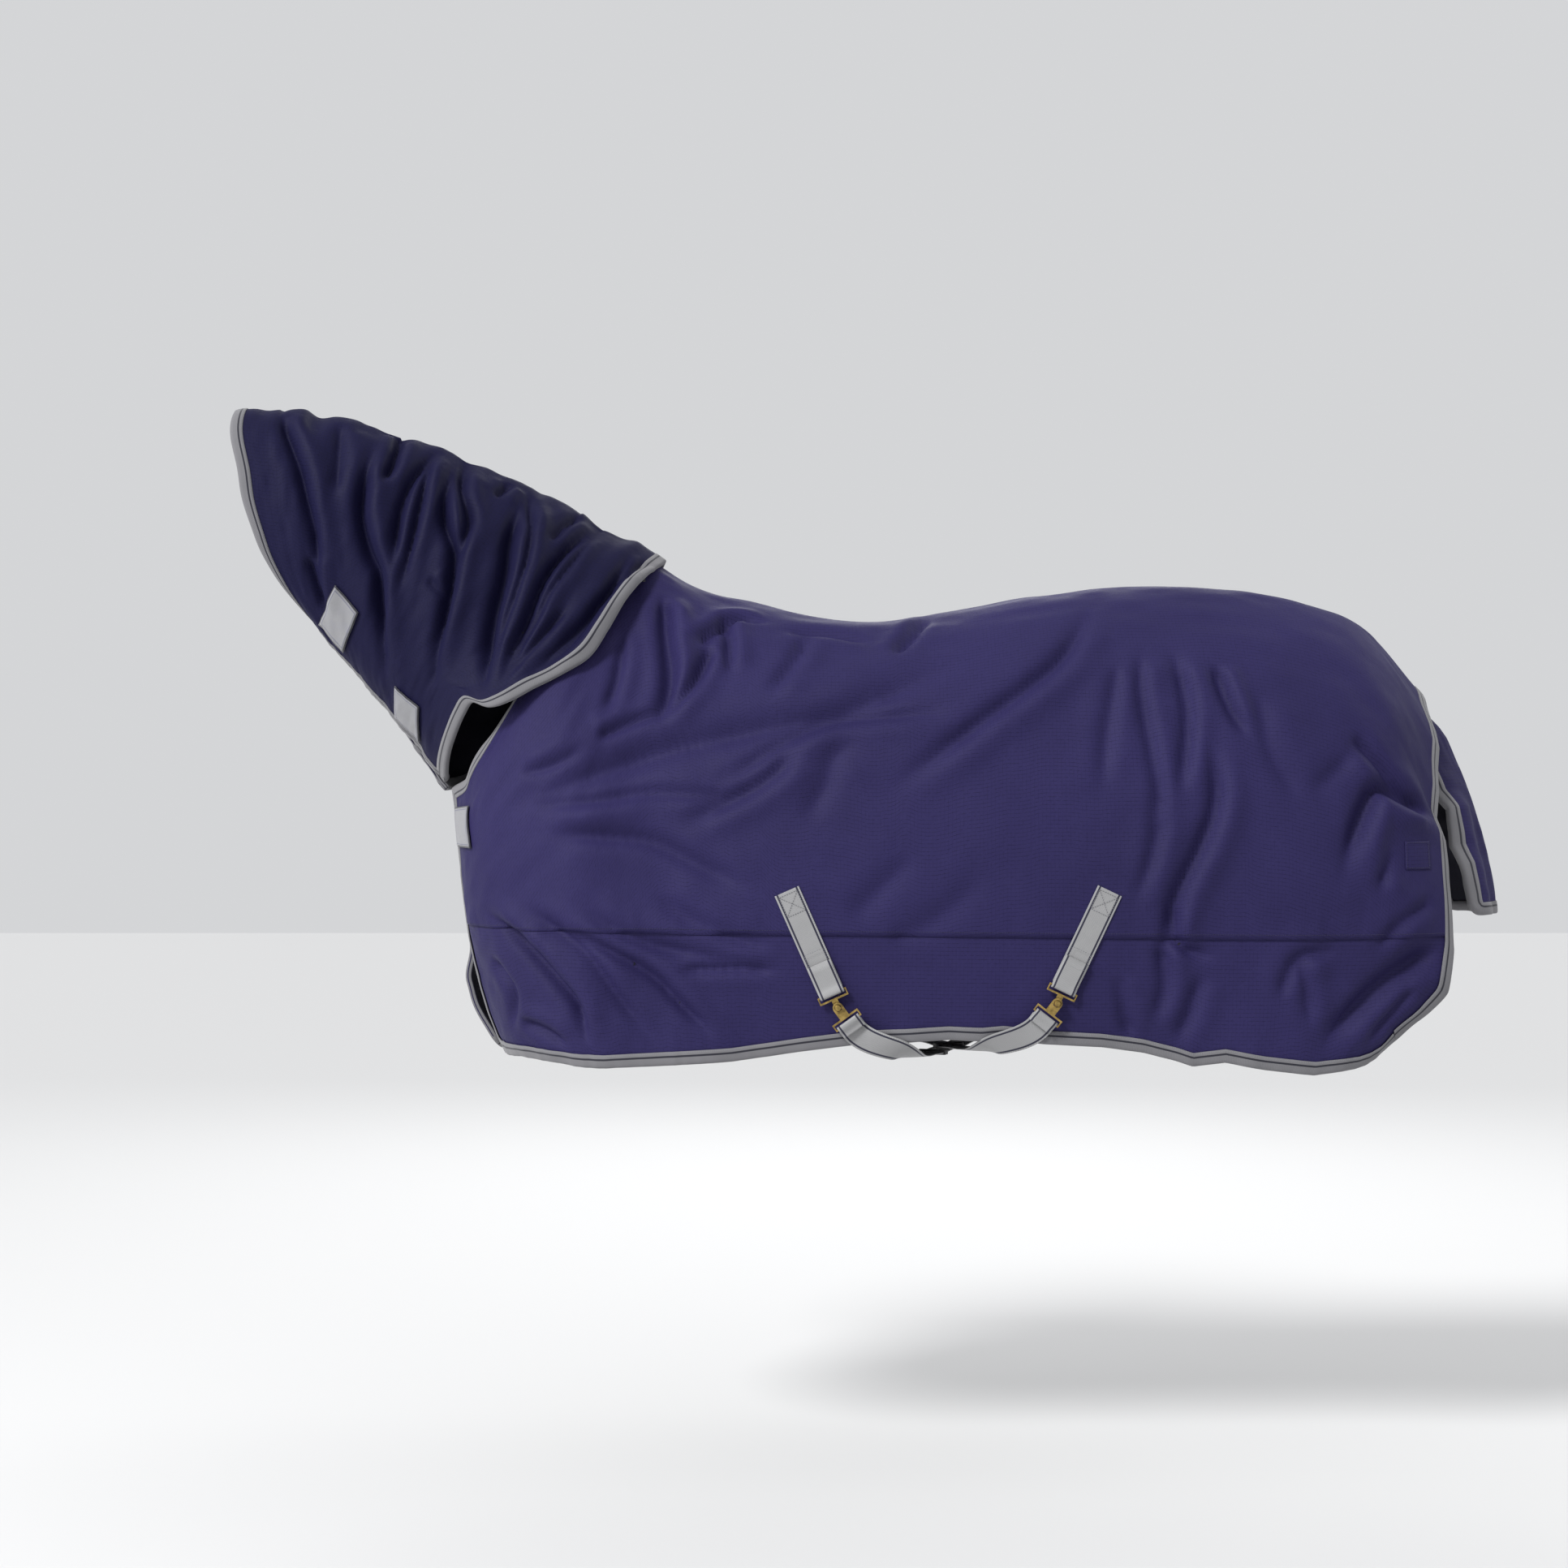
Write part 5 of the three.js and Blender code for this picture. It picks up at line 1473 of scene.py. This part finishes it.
bellyStraps = {
    "front": {"to": "rear", "drop": 0.03},  # drop: how far under the hem it passes
    "rear": {"to": "front", "drop": 0.018},
    "underHems": (0.24, 0.76),  # shares of the way, where it passes under the two hems
    "bellyDrop": 0.01,  # below the lower of those places
    "sag": 0.009,
    "bellyPoints": (0.66, 7),  # out to this share of the half width, and how many
    "hemOut": (0, 0.833, -0.553),  # which way the webbing faces at the off hem
    "loopGap": 0.004,  # under its own folded tail
    "nearTail": 0.015,
    "offTail": 0.035,
    "steps": 190,
    "ripple": 0.0012,
    "cup": 0.0011,
}


def underHem(x, drop, side):
    hem = plainBody(np.linspace(0, 1, 600), 1.0)
    y, z = (lineThrough(hem, x, 0, axis) for axis in (1, 2))
    return np.array([x, y * side, z - drop])


def strapRoute(name):
    # from the slot plate, under the hem and the belly, to the other webbing on the off side
    strap = bellyStraps[name]
    _hook, plate = surcingleFrames(surcingles[name], plainBody)
    inward = loopOuter + webbing["layer"] / 2 + bellyStraps["loopGap"]
    start = plate["at"] + plate["down"] * (loopOuter + webbing["gap"]) - plate["out"] * inward
    _top, bottom, heading = surcingleLine(surcingles[strap["to"]])
    place = frameOnBody(*bottom, heading, webbing["seat"] + webbing["layer"] / 2, plainBody)
    far = {key: mirrored(value) for key, value in place.items()}
    end = far["at"] + far["down"] * webbing["gap"]

    def between(share):
        return start[0] + (end[0] - start[0]) * share

    nearShare, farShare = bellyStraps["underHems"]
    nearHem = underHem(between(nearShare), strap["drop"], 1)
    farHem = underHem(between(farShare), strap["drop"], -1)
    level = min(nearHem[2], farHem[2]) - bellyStraps["bellyDrop"]
    reach, count = bellyStraps["bellyPoints"]
    belly = []
    for share in np.linspace(-reach, reach, count):
        x = between(nearShare + (farShare - nearShare) * (share + 1) / 2)
        belly.append((x, share * rug["hemHalfWidth"], level - bellyStraps["sag"] * (1 - share ** 2)))
    route = [start, start + plate["down"] * bellyStraps["nearTail"], nearHem, *belly,
             farHem, end + far["down"] * bellyStraps["offTail"], end]
    offOut = np.array(bellyStraps["hemOut"])
    outs = [plate["out"], plate["out"], mirrored(offOut), *[(0, 0, -1)] * count,
            offOut, far["out"], far["out"]]
    return np.round(route, 3), np.round(outs, 3)  # to whole millimetres


def addBellyStrap(name, node):
    route, outs = strapRoute(name)
    steps = bellyStraps["steps"]
    line, length = evenLine(route, steps)
    run = np.concatenate([[0], np.cumsum(np.linalg.norm(np.diff(route, axis=0), axis=-1))]) / length
    share = np.linspace(0, 1, steps)
    out = np.stack([np.interp(share, run, outs[:, axis]) for axis in range(3)], -1)
    tangent = np.gradient(line, axis=0)
    tangent /= np.linalg.norm(tangent, axis=-1, keepdims=True)
    out = out - tangent * (out * tangent).sum(-1, keepdims=True)
    out /= np.linalg.norm(out, axis=-1, keepdims=True)
    across = np.cross(tangent, out)
    ripple = bellyStraps["ripple"] * np.sin(share * 37 + 1) * np.sin(math.pi * share)
    t = np.linspace(-0.5, 0.5, 7)
    cup = bellyStraps["cup"] * (1 - (2 * t) ** 2)
    points = (line[:, None] + across[:, None] * (t * webbing["width"])[None, :, None]
              + out[:, None] * (ripple[:, None] + cup[None, :] + webbing["thickness"] / 2)[..., None])
    uv = np.stack(np.broadcast_arrays((share * length)[:, None], ((t + 0.5) * webbing["width"])[None, :]), -1)
    piece = cleanRibbon(points, uv, f"bellyStrap{name.capitalize()}", "webbing", "root",
                        webbing["thickness"], (2, -1))
    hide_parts(node)
    return piece


def addSurcingle(name):
    surcingle = surcingles[name]
    label = name.capitalize()
    near = sewnWebbing(f"webbing{label}Near", surcingle, nearBody, "near", [f"webbing_{name}_near"])
    off = sewnWebbing(f"webbing{label}Off", surcingle, offBody, "off", [f"webbing_{name}_off"])
    top, bottom, _heading = surcingleLine(surcingle)
    hook, plate = surcingleFrames(surcingle)
    addLoop(f"hookLoop{label}", hook, webbing["foldedTail"], f"webbing_loop_{name}")
    addLoop(f"strapLoop{label}", plate, webbing["strapTail"], f"strap_loop_{name}", flipped=True)
    addBellyStrap(name, f"belly_strap_{name}")


for name in surcingles:
    addSurcingle(name)
print("surcingles ready")

# ---- metalwork and sliders: the CAD shapes with rounded edges ----

edgeRounds = {"hook": 0.0007, "slider": 0.0008, "ring": 0.0012}


def softened(node, name, finish, width):
    # each of these rides on the body of the same name as its node
    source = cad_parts[node]
    piece = bpy.data.objects.new(name, source.data.copy())
    scene.collection.objects.link(piece)
    work = bmesh.new()
    work.from_mesh(piece.data)
    bmesh.ops.remove_doubles(work, verts=work.verts, dist=0.00001)
    bmesh.ops.dissolve_limit(work, angle_limit=math.radians(2), verts=work.verts, edges=work.edges)
    work.to_mesh(piece.data)
    work.free()
    bevel = piece.modifiers.new("roundedEdge", "BEVEL")
    bevel.width = width
    bevel.segments = 3
    bevel.limit_method = "ANGLE"
    bevel.angle_limit = math.radians(35)
    applyModifiers(piece)
    piece.data.materials.clear()
    piece.data.materials.append(finishes[finish])
    smoothByAngle(piece, 40)
    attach(piece, node)
    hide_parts(node)
    return piece


def smoothByAngle(piece, degrees):
    work = bmesh.new()
    work.from_mesh(piece.data)
    for edge in work.edges:
        if len(edge.link_faces) == 2:
            edge.smooth = edge.calc_face_angle(0) < math.radians(degrees)
    work.to_mesh(piece.data)
    work.free()


for name in ("front", "rear"):
    label = name.capitalize()
    softened(f"hook_{name}", f"hook{label}", "brass", edgeRounds["hook"])
    softened(f"slot_plate_{name}", f"slotPlate{label}", "brass", edgeRounds["hook"])
    softened(f"strap_slider_{name}", f"strapSlider{label}", "slider", edgeRounds["slider"])
for side in ("near", "off"):
    softened(f"leg_ring_{side}", f"legRing{side.capitalize()}", "brass", edgeRounds["ring"])
print("metalwork ready")

# ---- tabs, labels, patches and stitches ----


patchGrid = (16, 14)


def patchOn(name, sheet, place, lift, thickness, finish, body, node, labelLike=False, side="near"):
    # place turns shares across and down the patch into a place on the sheet
    a, b = np.meshgrid(*(np.linspace(0, 1, count) for count in patchGrid), indexing="ij")
    u, v = place(a, b)
    points = onSheet(sheet, u, v, lift)
    if side == "off":
        points = mirrored(points)
    uv = np.stack([a, b], -1) if labelLike else clothCoordinates(points)
    piece = newPiece(name, points, gridFaces(*patchGrid), finish, body, uv)
    facing(piece, (1, -1 if side == "near" else 1))
    thicken(piece, thickness, weld=False)
    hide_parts(node)


stitch = {"length": 0.0032, "gap": 0.0016, "width": 0.0009}


def alongLine(values, run, where):
    return np.array([np.interp(where, run, values[:, axis]) for axis in range(3)])


def stitchRow(name, lines, finish="paleThread"):
    # short raised threads along lines of (point, normal)
    length, width = stitch["length"], stitch["width"]
    points, faces = [], []
    for line, normals in lines:
        run = np.concatenate([[0], np.cumsum(np.linalg.norm(np.diff(line, axis=0), axis=-1))])
        for start in np.arange(0, run[-1] - length, length + stitch["gap"]):
            ends = [alongLine(line, run, start + length * k) for k in (0, 0.5, 1)]
            normal = alongLine(normals, run, start)
            way = ends[2] - ends[0]
            over = np.cross(way / np.linalg.norm(way), normal) * width / 2
            base = len(points)
            for end, height in zip(ends, (0, width * 0.75, 0)):
                top, bottom = end + normal * (height + width * 0.2), end - normal * width * 0.4
                points += [end - over, top, end + over, bottom]
            for ring in (0, 4):
                for k in range(4):
                    a, b = base + ring + k, base + ring + (k + 1) % 4
                    faces.append((a, b, b + 4, a + 4))
            faces += [(base + 3, base + 2, base + 1, base), (base + 8, base + 9, base + 10, base + 11)]
    newPiece(name, points, faces, finish, "root")


def tabPlace(surface, corners):
    corners = np.array(corners, float)

    def place(a, b):
        low = corners[0] + (corners[1] - corners[0]) * a[..., None]
        high = corners[2] + (corners[3] - corners[2]) * a[..., None]
        spot = low + (high - low) * b[..., None]
        return findOn(surface, spot[..., 0], spot[..., 1])
    return place


tabFit = {
    "lift": 0.0062,
    "thickness": 0.002,
    "labelLift": 0.0074,
    "labelThickness": 0.001,
    "labelInset": 0.03,  # share of the tab left round its label
}

# each tab: its node, the cloth that it lies on, and its corners as (x, z),
# in the order low front, low rear, high front, high rear
tabs = {
    "throatTabFront": ("throat_tab_front", nearNeck,
                       [(-0.817, -0.04), (-0.769, -0.096), (-0.776, 0.033), (-0.73, -0.021)]),
    "throatTabRear": ("throat_tab_rear", nearNeck,
                      [(-0.666, -0.224), (-0.62, -0.278), (-0.66, -0.164), (-0.611, -0.207)]),
    "chestTab": ("chest_tab", nearBody,
                 [(-0.548, -0.408), (-0.54, -0.485), (-0.505, -0.404), (-0.499, -0.487)]),
}


def addTab(name, node, sheet, corners):
    whole = tabPlace(sheet["surface"], corners)
    inset = tabFit["labelInset"]

    def inner(a, b):
        return whole(inset + (1 - 2 * inset) * a, inset + (1 - 2 * inset) * b)

    patchOn(name, sheet, whole, tabFit["lift"], tabFit["thickness"], "tape", node, node)
    patchOn(f"{name}Label", sheet, inner, tabFit["labelLift"], tabFit["labelThickness"], "label", node,
            f"{node}_label", labelLike=True)


for name, (node, sheet, corners) in tabs.items():
    addTab(name, node, sheet, corners)

withersTape = {
    "start": (0.345, 0.01),  # in shares of the body, along and down
    "size": (0.03, 0.16),
    "lift": 0.004,
    "thickness": 0.0015,
}
rearPatch = {
    "middle": sideXZ((0.676, -0.56)),
    "size": 0.054,
    "lift": 0.0028,
    "thickness": 0.001,
    "stitchHalf": 0.024,
    "stitchLift": 0.0032,
}
ringLoop = {"forward": 0.012, "depth": 0.021, "tail": 0.027, "bar": 0.004, "width": 0.034}


def tapePlace(a, b):
    start, size = withersTape["start"], withersTape["size"]
    return start[0] + a * size[0], start[1] + b * size[1]


def rearPatchPlace(a, b):
    x, z = rearPatch["middle"]
    return findOn(bodySurface, x + (a - 0.5) * rearPatch["size"], z + (0.5 - b) * rearPatch["size"])


for side, sheet in (("near", nearBody), ("off", offBody)):
    label = side.capitalize()
    patchOn(f"withersTape{label}", sheet, tapePlace, withersTape["lift"], withersTape["thickness"],
            "tape", "root", f"withers_tape_{side}", side=side)
    patchOn(f"rearPatch{label}", sheet, rearPatchPlace, rearPatch["lift"], rearPatch["thickness"],
            "shell", "root", f"rear_patch_{side}", side=side)
print("tabs and patches ready")


def sideLine(sheet, route, lift, side):
    route = np.asarray(route, float)
    count = int(np.linalg.norm(np.diff(route, axis=0), axis=-1).sum() / 0.004) + 2
    run = np.concatenate([[0], np.cumsum(np.linalg.norm(np.diff(route, axis=0), axis=-1))])
    where = np.linspace(0, run[-1], count)
    x, z = np.interp(where, run, route[:, 0]), np.interp(where, run, route[:, 1])
    u, v = findOn(bodySurface, x, z)
    _along, _down, normal = slopes(bodySurface, u, v)
    line = onSheet(sheet, u, v, lift)
    return (line, normal) if side == "near" else (mirrored(line), mirrored(normal))


def squareRoute(middle, half):
    x, z = middle
    corners = [(x - half, z - half), (x + half, z - half), (x + half, z + half), (x - half, z + half)]
    return corners + corners[:1]


def webbingRoute(surcingle, fromTop, toTop, inset=0.006):
    # a box with a cross inside it, between two places down the webbing
    top, _bottom, heading = surcingleLine(surcingle)
    across = np.array([heading[1], -heading[0]]) * (webbing["width"] / 2 - inset)
    a, b = top + heading * fromTop, top + heading * toTop
    return [a - across, a + across, b + across, b - across, a - across, b + across], [a + across, b - across]


stitchedBoxes = {
    "top": (0.006, 0.046),  # down the webbing, from its top
    "bottom": (0.125, 0.16),
    "lift": 0.0008,  # above the webbing
    "loopLift": 0.0045,  # more on the near side, where the hook's loop lies on it
}


def addStitches(side, sheet):
    label = side.capitalize()
    u = np.linspace(0.012, 0.988, 560)
    v = seamShare(u) + 0.001
    line = onSheet(sheet, u, v, 0.0014)
    _along, _down, normal = slopes(bodySurface, u, v)
    seamLine = (line, normal) if side == "near" else (mirrored(line), mirrored(normal))
    stitchRow(f"seamStitches{label}", [seamLine], "thread")
    lift = webbing["lift"] + stitchedBoxes["lift"]
    loopLift = stitchedBoxes["loopLift"] if side == "near" else 0
    boxes = []
    for surcingle in surcingles.values():
        for route in webbingRoute(surcingle, *stitchedBoxes["top"]):
            boxes.append(sideLine(sheet, route, lift, side))
        box, _cross = webbingRoute(surcingle, *stitchedBoxes["bottom"])
        boxes.append(sideLine(sheet, box[:5], lift + loopLift, side))
    stitchRow(f"webbingStitches{label}", boxes)
    square = squareRoute(rearPatch["middle"], rearPatch["stitchHalf"])
    patchLine = sideLine(sheet, square, rearPatch["stitchLift"], side)
    stitchRow(f"patchStitches{label}", [patchLine], "thread")


def addRingLoop(side):
    # a loop of webbing inside a rear edge
    x, z = rearPatch["middle"]
    place = frameOnBody(x - ringLoop["forward"], z, np.array([0, -1.0]), -ringLoop["depth"])
    if side == "off":
        place = {key: mirrored(value) for key, value in place.items()}
    place["out"] = -place["out"]
    addLoop(f"ringLoop{side.capitalize()}", place, ringLoop["tail"], f"ring_loop_{side}",
            bar=ringLoop["bar"], width=ringLoop["width"])


for side, sheet in (("near", nearBody), ("off", offBody)):
    addStitches(side, sheet)
for side in ("near", "off"):
    addRingLoop(side)
print("stitches ready")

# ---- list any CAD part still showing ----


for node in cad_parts.values():
    if not node.hide_render:
        print("still plain:", node.name)
